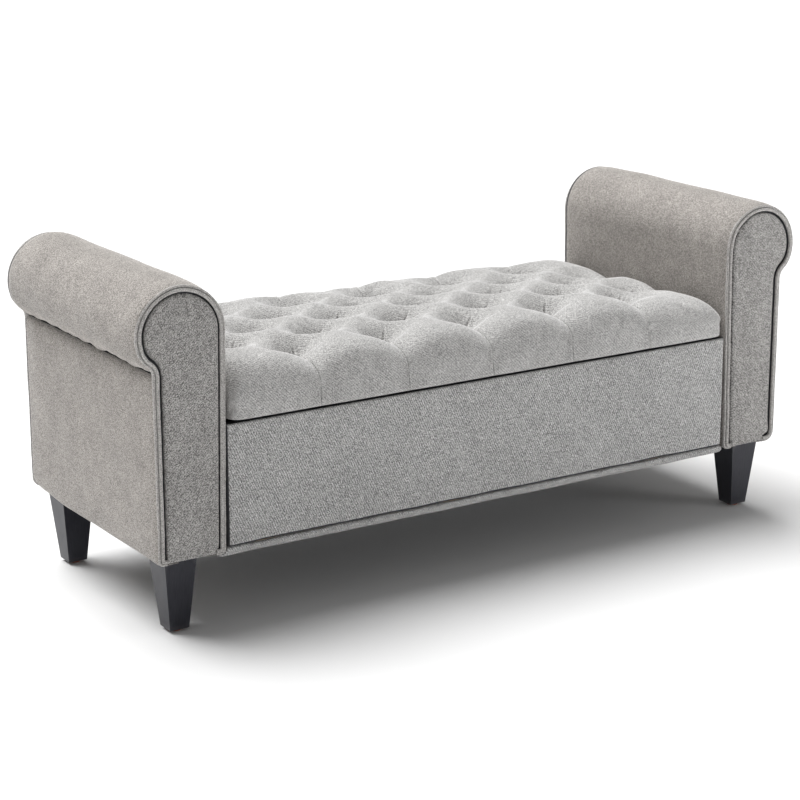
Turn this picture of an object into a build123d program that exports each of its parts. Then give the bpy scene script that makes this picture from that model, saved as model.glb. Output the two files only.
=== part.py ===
"""Rolled-arm storage bench with a tufted, hinged seat lid, as an assembly of separate pieces.

Frame: origin on the floor under the middle of the bench, +X along the bench,
-Y to the front, +Z up. All sizes in millimetres.
"""

import math
import os

from build123d import *

os.makedirs("parts", exist_ok=True)

# ---------------------------------------------------------------- driving sizes
OVERALL_LENGTH = 1280.0      # over both rolls
OVERALL_DEPTH = 476.0        # over the piping, front to rear
ARM_BOTTOM = 126.0           # underside of the arm upholstery
ROLL_R = 74.5                # roll radius over the fabric
ROLL_Z = 482.0               # height of the roll's axis
ROLL_X = OVERALL_LENGTH / 2 - ROLL_R
INNER_BOTTOM_X = 499.0       # inner face of an arm at its bottom edge
OUTER_X = 613.0              # outer face of an arm below the roll
UNDER_R = 45.0               # tighter underside of the roll
UNDER_FROM = -15.0           # angle where the underside begins, degrees
NECK_R = 20.0                # hollow between the roll and the outer face
CREASE_Z = 431.0             # where the roll cover is tucked in above the side panel

FABRIC = 2.0                 # upholstery fabric with its backing
PAD = 10.0                   # foam over the arm frame
FRAME_T = FABRIC + PAD       # fabric surface to timber
BOARD_Y = 229.0              # outer faces of the arm's end boards
BOARD_T = 15.0
INNER_T = 12.0               # arm inner panel
OUTER_T = 4.0                # arm outer panel, hardboard
FORMER_T = 3.0               # bent board under the roll
COVER_Y = 231.8              # where the roll cover meets the piping
PIPE_R = 3.0                 # piping cord with its fabric
PIPE_Y = OVERALL_DEPTH / 2 - PIPE_R
FACING_INSET = 6.4
FACING_Y = 235.6

LEG_X, LEG_Y = 566.0, 185.5
LEG_TOP_Z = 128.0
LEG_TOP_W, LEG_FOOT_W = 57.0, 33.0
GLIDE_H, GLIDE_R = 4.0, 10.0

BOX_BOTTOM = 133.0           # underside of the front and rear panels
PANEL_TOP = 330.0            # their top, over the fabric
PANEL_X = 493.0
FRONT_FACE_Y = -234.5
REAR_FACE_Y = 229.5
INNER_FACE_Y = 211.0
PLY = 12.0
SIDE_X0, SIDE_X1 = 484.0, 493.0
LINING = 1.5
BASE_BOTTOM = 121.0
BASE_X = 497.5
BASE_FRONT_Y = -224.5

LID_X = 487.0
LID_FRONT_Y, LID_REAR_Y = -236.0, 229.0
LID_BOTTOM, LID_TOP = 333.0, 420.0
LID_EDGE_R = 38.0
LID_BOARD_X = 478.0
LID_BOARD_Y0, LID_BOARD_Y1 = -226.0, 219.0

TUFT_DX, TUFT_DY, TUFT_Y0 = 162.5, 70.0, -6.0
DIMPLE_R, DIMPLE_DEPTH = 40.0, 30.0
BUTTON_R, BUTTON_H = 11.0, 6.0

HINGE_Y, HINGE_Z = 233.0, 331.5
HINGE_XS = (-330.0, 0.0, 330.0)
HINGE_LEN, KNUCKLE_R, HINGE_PIN_R = 60.0, 3.5, 1.75
LEAF_T, LEAF_W = 1.2, 25.0

STRUT_X = 470.0
STRUT_ARM = 170.0            # hinge axis to each strut pivot
LID_PIVOT_DROP = 14.0
BOX_PIVOT_ANGLE = 75.6       # below the horizontal, from the hinge axis
CYL_R, CYL_BORE_R, ROD_R, PISTON_R = 9.0, 7.5, 4.0, 7.0
EYE_R, EYE_HOLE_R, EYE_T, STRUT_PIN_R = 8.0, 3.35, 6.0, 3.0

BOLT_R, BOLT_HEAD_R = 3.0, 7.0
ARM_BOLTS = [(y, z) for y in (-150.0, 150.0) for z in (178.0, 292.0)]
SIDES = (("left", -1), ("right", 1))


# ------------------------------------------------------------ the arm's outline
def polar(c, r, deg):
    return (c[0] + r * math.cos(math.radians(deg)), c[1] + r * math.sin(math.radians(deg)))


C1 = (ROLL_X, ROLL_Z)
C2 = polar(C1, ROLL_R - UNDER_R, UNDER_FROM)
_dx = OUTER_X + NECK_R - C2[0]
C3 = (OUTER_X + NECK_R, C2[1] - math.sqrt((UNDER_R + NECK_R) ** 2 - _dx**2))
NECK_FROM = math.degrees(math.atan2(C3[1] - C2[1], C3[0] - C2[0]))
# the inner face is the tangent from its bottom edge to the roll
_q = (INNER_BOTTOM_X, ARM_BOTTOM)
_d = math.hypot(C1[0] - _q[0], C1[1] - _q[1])
LEAN = math.asin(ROLL_R / _d) - math.atan2(C1[0] - _q[0], C1[1] - _q[1])
TANGENT_DEG = 180.0 + math.degrees(LEAN)


def inner_x(t, z):
    """x of the inner face, inset by t, at height z."""
    p = polar(C1, ROLL_R - t, TANGENT_DEG)
    return p[0] + (p[1] - z) * math.tan(LEAN)


def outline(s, t, z_bottom, corner=6.0, mode=Mode.ADD):
    """Adds the arm's outline, inset by t and mirrored for s = -1, to the current BuildSketch."""

    def m(p):
        return (s * p[0], p[1])

    tangent = polar(C1, ROLL_R - t, TANGENT_DEG)
    under = polar(C1, ROLL_R - t, UNDER_FROM)
    neck = polar(C2, UNDER_R - t, NECK_FROM)
    foot = (OUTER_X - t, C3[1])
    neck_mid = polar(C3, NECK_R + t, (180.0 + 180.0 + NECK_FROM) / 2)
    with BuildLine() as edge:
        Line(m((inner_x(t, z_bottom), z_bottom)), m(tangent))
        ThreePointArc(m(tangent), m(polar(C1, ROLL_R - t, (TANGENT_DEG + UNDER_FROM) / 2)), m(under))
        ThreePointArc(m(under), m(polar(C2, UNDER_R - t, (UNDER_FROM + NECK_FROM) / 2)), m(neck))
        ThreePointArc(m(neck), m(neck_mid), m(foot))
        Line(m(foot), m((OUTER_X - t, z_bottom + corner)))
        k = corner * (1 - math.sqrt(0.5))
        ThreePointArc(
            m((OUTER_X - t, z_bottom + corner)),
            m((OUTER_X - t - k, z_bottom + k)),
            m((OUTER_X - t - corner, z_bottom)),
        )
        Line(m((OUTER_X - t - corner, z_bottom)), m((inner_x(t, z_bottom), z_bottom)))
    make_face(edge.edges(), mode=mode)


def region(x0, x1, z0, z1, mode):
    """A rectangle between two corners, in the current BuildSketch."""
    with Locations(((x0 + x1) / 2, (z0 + z1) / 2)):
        Rectangle(abs(x1 - x0), abs(z1 - z0), mode=mode)


def block(x0, x1, y0, y1, z0, z1, mode=Mode.ADD):
    """A box between two corners, in the current BuildPart."""
    with Locations(((x0 + x1) / 2, (y0 + y1) / 2, (z0 + z1) / 2)):
        Box(abs(x1 - x0), abs(y1 - y0), abs(z1 - z0), mode=mode)


def rod_x(x0, x1, y, z, r, mode=Mode.ADD):
    """A round bar along X, in the current BuildPart."""
    with Locations(Location(((x0 + x1) / 2, y, z), (0, 90, 0))):
        Cylinder(r, abs(x1 - x0), mode=mode)


def rod_z(x, y, z0, z1, r, mode=Mode.ADD):
    """An upright round bar, in the current BuildPart."""
    with Locations((x, y, (z0 + z1) / 2)):
        Cylinder(r, abs(z1 - z0), mode=mode)


def finish(builder, name):
    builder.part.label = name
    export_step(builder.part, f"parts/{name}.step")


# ------------------------------------------------------------------------- arms
for side, s in SIDES:
    # end boards: plywood cut to the arm's outline
    for end, y0 in (("front", -BOARD_Y), ("rear", BOARD_Y - BOARD_T)):
        with BuildPart() as board:
            with BuildSketch(Plane.XZ.offset(-y0)):
                outline(s, FRAME_T, LEG_TOP_Z)
            extrude(amount=-BOARD_T)
        finish(board, f"arm_{side}_{end}_board")

    span = 2 * (BOARD_Y - BOARD_T)

    # inner panel, which carries the storage box, leaning with the arm's inner face
    with BuildPart() as inner_panel:
        with BuildSketch(Plane.XZ):
            z0, z1 = LEG_TOP_Z + PLY, 455.0
            with BuildLine():
                Polyline(
                    (s * inner_x(FRAME_T, z0), z0),
                    (s * inner_x(FRAME_T + INNER_T, z0), z0),
                    (s * inner_x(FRAME_T + INNER_T, z1), z1),
                    (s * inner_x(FRAME_T, z1), z1),
                    close=True,
                )
            make_face()
        extrude(amount=span / 2, both=True)
        for y, z in ARM_BOLTS:
            rod_x(s * 500, s * 530, y, z, BOLT_R + 0.3, Mode.SUBTRACT)
    finish(inner_panel, f"arm_{side}_inner_panel")

    with BuildPart() as outer_panel:
        block(
            s * (OUTER_X - FRAME_T - OUTER_T), s * (OUTER_X - FRAME_T),
            -span / 2, span / 2, LEG_TOP_Z + PLY, 412.0,
        )
    finish(outer_panel, f"arm_{side}_outer_panel")

    # stretchers between the end boards, and the plate that the legs screw into
    with BuildPart() as rails:
        block(s * 512, s * 600.5, -span / 2, span / 2, LEG_TOP_Z, LEG_TOP_Z + PLY)
        for y in (-LEG_Y, LEG_Y):
            rod_z(s * LEG_X, y, LEG_TOP_Z - 1, LEG_TOP_Z + PLY + 1, 5.2, Mode.SUBTRACT)
        base_in = inner_x(FRAME_T + INNER_T, 160) + 1.5
        block(s * base_in, s * (base_in + 20), -span / 2, span / 2, 140.5, 180)
        block(s * 576.5, s * 596.5, -span / 2, span / 2, 140.5, 180)
        block(s * 574, s * 594, -span / 2, span / 2, 424, 452)
        block(s * (ROLL_X - 16), s * (ROLL_X + 16), -span / 2, span / 2, ROLL_Z - 2, ROLL_Z + 30)
        for y, z in ARM_BOLTS:
            rod_x(s * 520, s * 550, y, z, BOLT_HEAD_R + 3.5, Mode.SUBTRACT)
    finish(rails, f"arm_{side}_rails")

    with BuildPart() as former:
        with BuildSketch(Plane.XZ):
            outline(s, FRAME_T, 200)
            outline(s, FRAME_T + FORMER_T, 150, mode=Mode.SUBTRACT)
            region(s * 400, s * 700, 100, 456, Mode.SUBTRACT)
        extrude(amount=span / 2, both=True)
    finish(former, f"arm_{side}_roll_former")

    # foam: one wrap over the inner face and the roll, one flat pad on the outer face
    with BuildPart() as foam:
        with BuildSketch(Plane.XZ):
            outline(s, FABRIC, LEG_TOP_Z)
            outline(s, FRAME_T, 90, mode=Mode.SUBTRACT)
            region(s * 575, s * 700, 60, CREASE_Z, Mode.SUBTRACT)
        extrude(amount=BOARD_Y, both=True)
        with BuildSketch(Plane.XZ):
            outline(s, FABRIC, LEG_TOP_Z)
            outline(s, FRAME_T, 90, mode=Mode.SUBTRACT)
            region(s * 575, s * 700, LEG_TOP_Z, CREASE_Z - 1.0, Mode.INTERSECT)
        extrude(amount=BOARD_Y, both=True)
        for y, z in ARM_BOLTS:
            rod_x(s * 490, s * 530, y, z, BOLT_R + 0.3, Mode.SUBTRACT)
    finish(foam, f"arm_{side}_foam")

    with BuildPart() as cover:
        with BuildSketch(Plane.XZ):
            outline(s, 0, ARM_BOTTOM)
            outline(s, FABRIC, 90, mode=Mode.SUBTRACT)
            region(s * 575, s * 700, 60, CREASE_Z, Mode.SUBTRACT)
        extrude(amount=COVER_Y, both=True)
        for y, z in ARM_BOLTS:
            rod_x(s * 490, s * 530, y, z, BOLT_R + 0.3, Mode.SUBTRACT)
    finish(cover, f"arm_{side}_cover")

    with BuildPart() as outer_cover:
        with BuildSketch(Plane.XZ):
            outline(s, 0, ARM_BOTTOM)
            outline(s, FABRIC, 90, mode=Mode.SUBTRACT)
            region(s * 575, s * 700, ARM_BOTTOM, CREASE_Z - 1.0, Mode.INTERSECT)
        extrude(amount=COVER_Y, both=True)
    finish(outer_cover, f"arm_{side}_outer_cover")

    # padded facings set inside the piping, and the piping round each end
    for end, e in (("front", -1), ("rear", 1)):
        with BuildPart() as facing:
            with BuildSketch(Plane.XZ.offset(-e * (BOARD_Y + 0.1))):
                outline(s, FACING_INSET, ARM_BOTTOM)
            extrude(amount=-e * (FACING_Y - BOARD_Y - 0.1))
        finish(facing, f"arm_{side}_{end}_facing")

        def m(p):
            return (s * p[0], e * PIPE_Y, p[1])

        t = PIPE_R
        tangent = polar(C1, ROLL_R - t, TANGENT_DEG)
        under = polar(C1, ROLL_R - t, UNDER_FROM)
        neck = polar(C2, UNDER_R - t, NECK_FROM)
        foot = (OUTER_X - t, C3[1])
        neck_mid = polar(C3, NECK_R + t, (360.0 + NECK_FROM) / 2)
        start = (inner_x(t, ARM_BOTTOM + 1), ARM_BOTTOM + 1)
        with BuildPart() as piping:
            with BuildLine() as path:
                Line(m(start), m(tangent))
                ThreePointArc(m(tangent), m(polar(C1, ROLL_R - t, (TANGENT_DEG + UNDER_FROM) / 2)), m(under))
                ThreePointArc(m(under), m(polar(C2, UNDER_R - t, (UNDER_FROM + NECK_FROM) / 2)), m(neck))
                ThreePointArc(m(neck), m(neck_mid), m(foot))
                Line(m(foot), m((OUTER_X - t, ARM_BOTTOM + 1)))
            with BuildSketch(Plane(origin=path.line @ 0, z_dir=path.line % 0)):
                Circle(PIPE_R)
            sweep()
        finish(piping, f"arm_{side}_{end}_piping")

# ------------------------------------------------------------------------- legs
LEG_PLACES = {
    "leg_front_left": (-LEG_X, -LEG_Y),
    "leg_front_right": (LEG_X, -LEG_Y),
    "leg_rear_left": (-LEG_X, LEG_Y),
    "leg_rear_right": (LEG_X, LEG_Y),
}
for name, (x, y) in LEG_PLACES.items():
    with BuildPart() as leg:
        with BuildSketch(Plane((x, y, GLIDE_H))):
            Rectangle(LEG_FOOT_W, LEG_FOOT_W)
        with BuildSketch(Plane((x, y, LEG_TOP_Z))):
            Rectangle(LEG_TOP_W, LEG_TOP_W)
        loft()
        chamfer(leg.faces().sort_by(Axis.Z)[0].edges(), 1.2)
        rod_z(x, y, 92, LEG_TOP_Z + 1, 4.05, Mode.SUBTRACT)
    finish(leg, name)

with BuildPart() as leg_bolts:
    for x, y in LEG_PLACES.values():
        rod_z(x, y, 95, 158, 4.0)
finish(leg_bolts, "leg_bolts")

with BuildPart() as glides:
    for x, y in LEG_PLACES.values():
        rod_z(x, y, 0, GLIDE_H, GLIDE_R)
    chamfer(glides.faces().group_by(Axis.Z)[0].edges(), 0.8)
finish(glides, "foot_glides")

with BuildPart() as tee_nuts:
    for x, y in LEG_PLACES.values():
        rod_z(x, y, 131, 140.1, 5.1)
        rod_z(x, y, 140.1, 141.4, 10)
        rod_z(x, y, 120, 150, 4.05, Mode.SUBTRACT)
    for side, s in SIDES:
        for y, z in ARM_BOLTS:
            x0 = inner_x(FRAME_T + INNER_T, z) + 0.8
            rod_x(s * x0, s * (x0 + 5), y, z, 6.0)
            rod_x(s * (x0 - 1), s * (x0 + 6), y, z, BOLT_R + 0.05, Mode.SUBTRACT)
finish(tee_nuts, "tee_nuts")

with BuildPart() as arm_bolts:
    for side, s in SIDES:
        for y, z in ARM_BOLTS:
            rod_x(s * (SIDE_X0 - LINING), s * 530, y, z, BOLT_R)
            rod_x(s * (SIDE_X0 - LINING - 3), s * (SIDE_X0 - LINING), y, z, BOLT_HEAD_R)
finish(arm_bolts, "arm_bolts")

# ------------------------------------------------------------------ storage box
with BuildPart() as front_board:
    block(-490, 490, -227, -INNER_FACE_Y, BOX_BOTTOM, PANEL_TOP - FABRIC)
finish(front_board, "front_panel_board")

with BuildPart() as front_cover:
    block(-PANEL_X, PANEL_X, FRONT_FACE_Y, -INNER_FACE_Y, BOX_BOTTOM, PANEL_TOP)
    fillet(front_cover.edges().filter_by(Axis.X).group_by(Axis.Y)[0].sort_by(Axis.Z)[-1:], 5)
    block(-490, 490, -227, -INNER_FACE_Y + 5, BOX_BOTTOM - 5, PANEL_TOP - FABRIC, Mode.SUBTRACT)
finish(front_cover, "front_panel_cover")

with BuildPart() as rear_board:
    block(-490, 490, INNER_FACE_Y, 226, BOX_BOTTOM, PANEL_TOP - FABRIC)
finish(rear_board, "rear_panel_board")

with BuildPart() as rear_cover:
    block(-PANEL_X, PANEL_X, INNER_FACE_Y, REAR_FACE_Y, BOX_BOTTOM, PANEL_TOP)
    block(-490, 490, INNER_FACE_Y - 5, 226, BOX_BOTTOM - 5, PANEL_TOP - FABRIC, Mode.SUBTRACT)
finish(rear_cover, "rear_panel_cover")

for side, s in SIDES:
    with BuildPart() as box_side:
        block(s * SIDE_X0, s * SIDE_X1, -INNER_FACE_Y, INNER_FACE_Y, BOX_BOTTOM, 322)
        for y, z in ARM_BOLTS:
            rod_x(s * 480, s * 500, y, z, BOLT_R + 0.3, Mode.SUBTRACT)
    finish(box_side, f"box_side_{side}")

with BuildPart() as bottom_panel:
    block(-SIDE_X0, SIDE_X0, -INNER_FACE_Y, INNER_FACE_Y, BOX_BOTTOM, BOX_BOTTOM + PLY)
finish(bottom_panel, "bottom_panel")

with BuildPart() as lining:
    floor = BOX_BOTTOM + PLY
    block(-SIDE_X0, SIDE_X0, -INNER_FACE_Y, INNER_FACE_Y, floor, 322)
    block(
        -SIDE_X0 + LINING, SIDE_X0 - LINING, -INNER_FACE_Y + LINING, INNER_FACE_Y - LINING,
        floor + LINING, 340, Mode.SUBTRACT,
    )
    for side, s in SIDES:
        for y, z in ARM_BOLTS:
            rod_x(s * 480, s * 490, y, z, BOLT_R + 0.3, Mode.SUBTRACT)
finish(lining, "box_lining")

# base: a ladder of battens under the box, its front batten wrapped in fabric
with BuildPart() as base_frame:
    block(-BASE_X + 3, BASE_X - 3, BASE_FRONT_Y, -190, BASE_BOTTOM + 1.5, BOX_BOTTOM)
    block(-BASE_X + 3, BASE_X - 3, 188, 226, BASE_BOTTOM + 1.5, BOX_BOTTOM)
    for x in (-465, -155, 155, 465):
        block(x - 20, x + 20, -188, 186, BASE_BOTTOM + 1.5, BOX_BOTTOM)
finish(base_frame, "base_frame")

with BuildPart() as base_trim:
    block(-BASE_X, BASE_X, -232.5, -190, BASE_BOTTOM, BOX_BOTTOM)
    fillet(base_trim.edges().filter_by(Axis.X).group_by(Axis.Y)[0].sort_by(Axis.Z)[0:1], 2)
    block(-BASE_X + 3, BASE_X - 3, BASE_FRONT_Y, -180, BASE_BOTTOM + 1.5, BOX_BOTTOM + 5, Mode.SUBTRACT)
finish(base_trim, "base_trim")

with BuildPart() as dust_covers:
    block(-BASE_X + 3, BASE_X - 3, -189.5, 226, BASE_BOTTOM + 0.5, BASE_BOTTOM + 1.5)
    for side, s in SIDES:
        block(s * 503, s * 603, -227, 227, ARM_BOTTOM + 1, LEG_TOP_Z)
        for y in (-LEG_Y, LEG_Y):
            w = LEG_TOP_W / 2 + 0.5
            block(s * LEG_X - w, s * LEG_X + w, y - w, y + w, ARM_BOTTOM, LEG_TOP_Z + 1, Mode.SUBTRACT)
finish(dust_covers, "dust_covers")

with BuildPart() as bumpers:
    for x in (-470, -160, 160, 470):
        rod_z(x, -219, PANEL_TOP, LID_BOTTOM - 0.1, 5)
finish(bumpers, "lid_bumpers")

# ----------------------------------------------------------------------- hinges
SEG = HINGE_LEN / 5
with BuildPart() as leaves_rear:
    for hx in HINGE_XS:
        block(hx - HINGE_LEN / 2, hx + HINGE_LEN / 2, HINGE_Y - 3.3 - LEAF_W, HINGE_Y - 2.6, PANEL_TOP, PANEL_TOP + LEAF_T)
        for i in (1, 3):
            a = hx - HINGE_LEN / 2 + i * SEG
            block(a - 0.2, a + SEG + 0.2, HINGE_Y - 4.2, HINGE_Y + 1, PANEL_TOP - 1, PANEL_TOP + LEAF_T + 1, Mode.SUBTRACT)
        for i in (0, 2, 4):
            a = hx - HINGE_LEN / 2 + i * SEG
            rod_x(a + (0.2 if i else 0), a + SEG - (0.2 if i < 4 else 0), HINGE_Y, HINGE_Z, KNUCKLE_R)
        rod_x(hx - 40, hx + 40, HINGE_Y, HINGE_Z, HINGE_PIN_R + 0.02, Mode.SUBTRACT)
        for dx in (-20, 0, 20):
            rod_z(hx + dx, HINGE_Y - 15, PANEL_TOP - 1, PANEL_TOP + LEAF_T + 1, 2.2, Mode.SUBTRACT)
finish(leaves_rear, "hinge_leaves_rear")

with BuildPart() as hinge_pins:
    for hx in HINGE_XS:
        rod_x(hx - HINGE_LEN / 2 - 0.6, hx + HINGE_LEN / 2 + 0.6, HINGE_Y, HINGE_Z, HINGE_PIN_R)
finish(hinge_pins, "hinge_pins")

with BuildPart() as leaves_lid:
    for hx in HINGE_XS:
        block(hx - HINGE_LEN / 2, hx + HINGE_LEN / 2, HINGE_Y - 3.3 - LEAF_W, HINGE_Y - 2.6, LID_BOTTOM - LEAF_T, LID_BOTTOM)
        for i in (0, 2, 4):
            a = hx - HINGE_LEN / 2 + i * SEG
            block(a - 0.2, a + SEG + 0.2, HINGE_Y - 4.2, HINGE_Y + 1, LID_BOTTOM - LEAF_T - 1, LID_BOTTOM + 1, Mode.SUBTRACT)
        for i in (1, 3):
            a = hx - HINGE_LEN / 2 + i * SEG
            rod_x(a + 0.2, a + SEG - 0.2, HINGE_Y, HINGE_Z, KNUCKLE_R)
        rod_x(hx - 40, hx + 40, HINGE_Y, HINGE_Z, HINGE_PIN_R + 0.3, Mode.SUBTRACT)
        for dx in (-20, 0, 20):
            rod_z(hx + dx, HINGE_Y - 15, LID_BOTTOM - LEAF_T - 1, LID_BOTTOM + 1, 2.2, Mode.SUBTRACT)
finish(leaves_lid, "hinge_leaves_lid")

# -------------------------------------------------------------------------- lid
TUFTS = []
for row in range(5):
    y = TUFT_Y0 + (row - 2) * TUFT_DY
    xs = [i * TUFT_DX for i in range(-2, 3)] if row % 2 == 0 else [(i + 0.5) * TUFT_DX for i in range(-3, 3)]
    TUFTS += [(x, y) for x in xs]
DIMPLE_Z = LID_TOP + DIMPLE_R - DIMPLE_DEPTH


def seat_block(inset):
    """The seat's outer shape with its tuft dimples, inset on every side but the bottom, in the current BuildPart."""
    block(
        -LID_X + inset, LID_X - inset, LID_FRONT_Y + inset, LID_REAR_Y - inset,
        LID_BOTTOM + inset, LID_TOP - inset,
    )


with BuildPart() as lid_board:
    block(-LID_BOARD_X, LID_BOARD_X, LID_BOARD_Y0, LID_BOARD_Y1, LID_BOTTOM + FABRIC, LID_BOTTOM + FABRIC + PLY)
finish(lid_board, "lid_board")

with BuildPart() as seat_foam:
    seat_block(FABRIC)
    fillet(seat_foam.faces().sort_by(Axis.Z)[-1].edges(), LID_EDGE_R - FABRIC)
    with Locations(*[(x, y, DIMPLE_Z) for x, y in TUFTS]):
        Sphere(DIMPLE_R + FABRIC, mode=Mode.SUBTRACT)
    block(
        -LID_BOARD_X, LID_BOARD_X, LID_BOARD_Y0, LID_BOARD_Y1,
        LID_BOTTOM, LID_BOTTOM + FABRIC + PLY, Mode.SUBTRACT,
    )
finish(seat_foam, "seat_foam")

with BuildPart() as seat_inside:
    seat_block(FABRIC)
    fillet(seat_inside.faces().sort_by(Axis.Z)[-1].edges(), LID_EDGE_R - FABRIC)
    with Locations(*[(x, y, DIMPLE_Z) for x, y in TUFTS]):
        Sphere(DIMPLE_R + FABRIC, mode=Mode.SUBTRACT)

with BuildPart() as seat_cover:
    seat_block(0)
    fillet(seat_cover.faces().sort_by(Axis.Z)[-1].edges(), LID_EDGE_R)
    with Locations(*[(x, y, DIMPLE_Z) for x, y in TUFTS]):
        Sphere(DIMPLE_R, mode=Mode.SUBTRACT)
    add(seat_inside.part, mode=Mode.SUBTRACT)
    hem = 40
    block(
        -LID_X + hem, LID_X - hem, LID_FRONT_Y + hem, LID_REAR_Y - hem,
        LID_BOTTOM - 1, LID_BOTTOM + FABRIC, Mode.SUBTRACT,
    )
finish(seat_cover, "seat_cover")

with BuildPart() as lid_dust:
    block(
        -LID_X + hem + 0.5, LID_X - hem - 0.5, LID_FRONT_Y + hem + 0.5, LID_REAR_Y - hem - 0.5,
        LID_BOTTOM + 1, LID_BOTTOM + FABRIC,
    )
finish(lid_dust, "lid_dust_cover")

pit = DIMPLE_Z - math.sqrt(DIMPLE_R**2 - BUTTON_R**2)
with BuildPart() as buttons:
    for x, y in TUFTS:
        rod_z(x, y, pit + 0.3, pit + 0.3 + BUTTON_H, BUTTON_R)
    fillet(buttons.faces().group_by(Axis.Z)[-1].edges(), 3.5)
finish(buttons, "seat_buttons")

# ------------------------------------------------------------------- gas struts
# Both pivots lie STRUT_ARM from the hinge axis, so the strut turns by exactly half the lid's angle.
LID_PIVOT = (
    HINGE_Y - math.sqrt(STRUT_ARM**2 - LID_PIVOT_DROP**2),
    HINGE_Z - LID_PIVOT_DROP,
)
BOX_PIVOT = (
    HINGE_Y - STRUT_ARM * math.cos(math.radians(BOX_PIVOT_ANGLE)),
    HINGE_Z - STRUT_ARM * math.sin(math.radians(BOX_PIVOT_ANGLE)),
)
STRUT_LEN = math.hypot(LID_PIVOT[0] - BOX_PIVOT[0], LID_PIVOT[1] - BOX_PIVOT[1])
STRUT_DIR = ((LID_PIVOT[0] - BOX_PIVOT[0]) / STRUT_LEN, (LID_PIVOT[1] - BOX_PIVOT[1]) / STRUT_LEN)
CYL_END = 168.0
ROD_TAIL = 178.0
print("lid pivot", LID_PIVOT, "box pivot", BOX_PIVOT, "closed length", STRUT_LEN)

for side, s in SIDES:
    axis_plane = Plane(
        origin=(s * STRUT_X, BOX_PIVOT[0], BOX_PIVOT[1]),
        x_dir=(1, 0, 0),
        z_dir=(0, STRUT_DIR[0], STRUT_DIR[1]),
    )
    with BuildPart() as cylinder:
        with BuildSketch(axis_plane.offset(14)):
            Circle(CYL_R)
        extrude(amount=CYL_END - 14)
        with BuildSketch(axis_plane.offset(18)):
            Circle(CYL_BORE_R)
        extrude(amount=CYL_END - 26, mode=Mode.SUBTRACT)
        with BuildSketch(axis_plane.offset(CYL_END - 20)):
            Circle(ROD_R + 0.5)
        extrude(amount=22, mode=Mode.SUBTRACT)
        with BuildSketch(axis_plane.offset(6.8)):
            Circle(4.5)
        extrude(amount=8)
        rod_x(s * (STRUT_X - EYE_T / 2), s * (STRUT_X + EYE_T / 2), *BOX_PIVOT, EYE_R)
        rod_x(s * (STRUT_X - 10), s * (STRUT_X + 10), *BOX_PIVOT, EYE_HOLE_R, Mode.SUBTRACT)
    finish(cylinder, f"strut_{side}_cylinder")

    with BuildPart() as rod:
        with BuildSketch(axis_plane.offset(STRUT_LEN - ROD_TAIL)):
            Circle(ROD_R)
        extrude(amount=ROD_TAIL - 6.6)
        with BuildSketch(axis_plane.offset(STRUT_LEN - ROD_TAIL)):
            Circle(PISTON_R)
        extrude(amount=4)
        with BuildSketch(axis_plane.offset(STRUT_LEN - 24)):
            Circle(5.5)
        extrude(amount=15)
        rod_x(s * (STRUT_X - EYE_T / 2), s * (STRUT_X + EYE_T / 2), *LID_PIVOT, EYE_R)
        rod_x(s * (STRUT_X - 10), s * (STRUT_X + 10), *LID_PIVOT, EYE_HOLE_R, Mode.SUBTRACT)
    finish(rod, f"strut_{side}_rod")

with BuildPart() as box_brackets:
    for side, s in SIDES:
        y, z = BOX_PIVOT
        block(s * 480, s * (SIDE_X0 - LINING), y - 12, y + 12, z - 18, z + 18)
        rod_x(s * (STRUT_X + EYE_T / 2 + 0.4), s * 480.5, y, z, 5.5)
        rod_x(s * (STRUT_X - EYE_T / 2 - 4), s * 480.5, y, z, STRUT_PIN_R)
        rod_x(s * (STRUT_X - EYE_T / 2 - 2.4), s * (STRUT_X - EYE_T / 2 - 0.4), y, z, 5.0)
        for dz in (-13, 13):
            rod_x(s * 478, s * 486, y, z + dz, 2.1, Mode.SUBTRACT)
finish(box_brackets, "strut_brackets_box")

with BuildPart() as lid_brackets:
    for side, s in SIDES:
        y, z = LID_PIVOT
        block(s * 452, s * 478.4, y - 15, y + 15, LID_BOTTOM - 2, LID_BOTTOM)
        block(s * 476, s * 478.4, y - 10, y + 10, z - 9, LID_BOTTOM - 1)
        rod_x(s * (STRUT_X + EYE_T / 2 + 0.4), s * 477, y, z, 5.5)
        rod_x(s * (STRUT_X - EYE_T / 2 - 4), s * 477, y, z, STRUT_PIN_R)
        rod_x(s * (STRUT_X - EYE_T / 2 - 2.4), s * (STRUT_X - EYE_T / 2 - 0.4), y, z, 5.0)
        for dy in (-11, 11):
            rod_z(s * 458, y + dy, LID_BOTTOM - 3, LID_BOTTOM + 1, 2.1, Mode.SUBTRACT)
finish(lid_brackets, "strut_brackets_lid")
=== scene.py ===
import math

import bpy
import numpy as np
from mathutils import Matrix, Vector


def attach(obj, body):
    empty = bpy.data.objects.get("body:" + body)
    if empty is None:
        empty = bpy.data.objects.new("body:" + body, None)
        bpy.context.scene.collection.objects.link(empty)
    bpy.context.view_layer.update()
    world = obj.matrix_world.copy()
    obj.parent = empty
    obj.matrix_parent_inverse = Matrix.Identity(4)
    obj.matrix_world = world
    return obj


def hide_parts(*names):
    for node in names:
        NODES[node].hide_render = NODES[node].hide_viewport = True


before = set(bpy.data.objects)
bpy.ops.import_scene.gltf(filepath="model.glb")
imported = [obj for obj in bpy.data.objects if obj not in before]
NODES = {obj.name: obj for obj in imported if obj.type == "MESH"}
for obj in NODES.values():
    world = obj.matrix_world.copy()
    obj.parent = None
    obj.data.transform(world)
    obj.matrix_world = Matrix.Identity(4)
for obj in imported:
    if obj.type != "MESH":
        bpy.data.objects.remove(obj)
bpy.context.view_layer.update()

SIDES = (("left", -1.0), ("right", 1.0))


# ------------------------------------------------------------------ small tools
def smooth(t):
    t = np.clip(t, 0.0, 1.0)
    return t * t * (3 - 2 * t)


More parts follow.
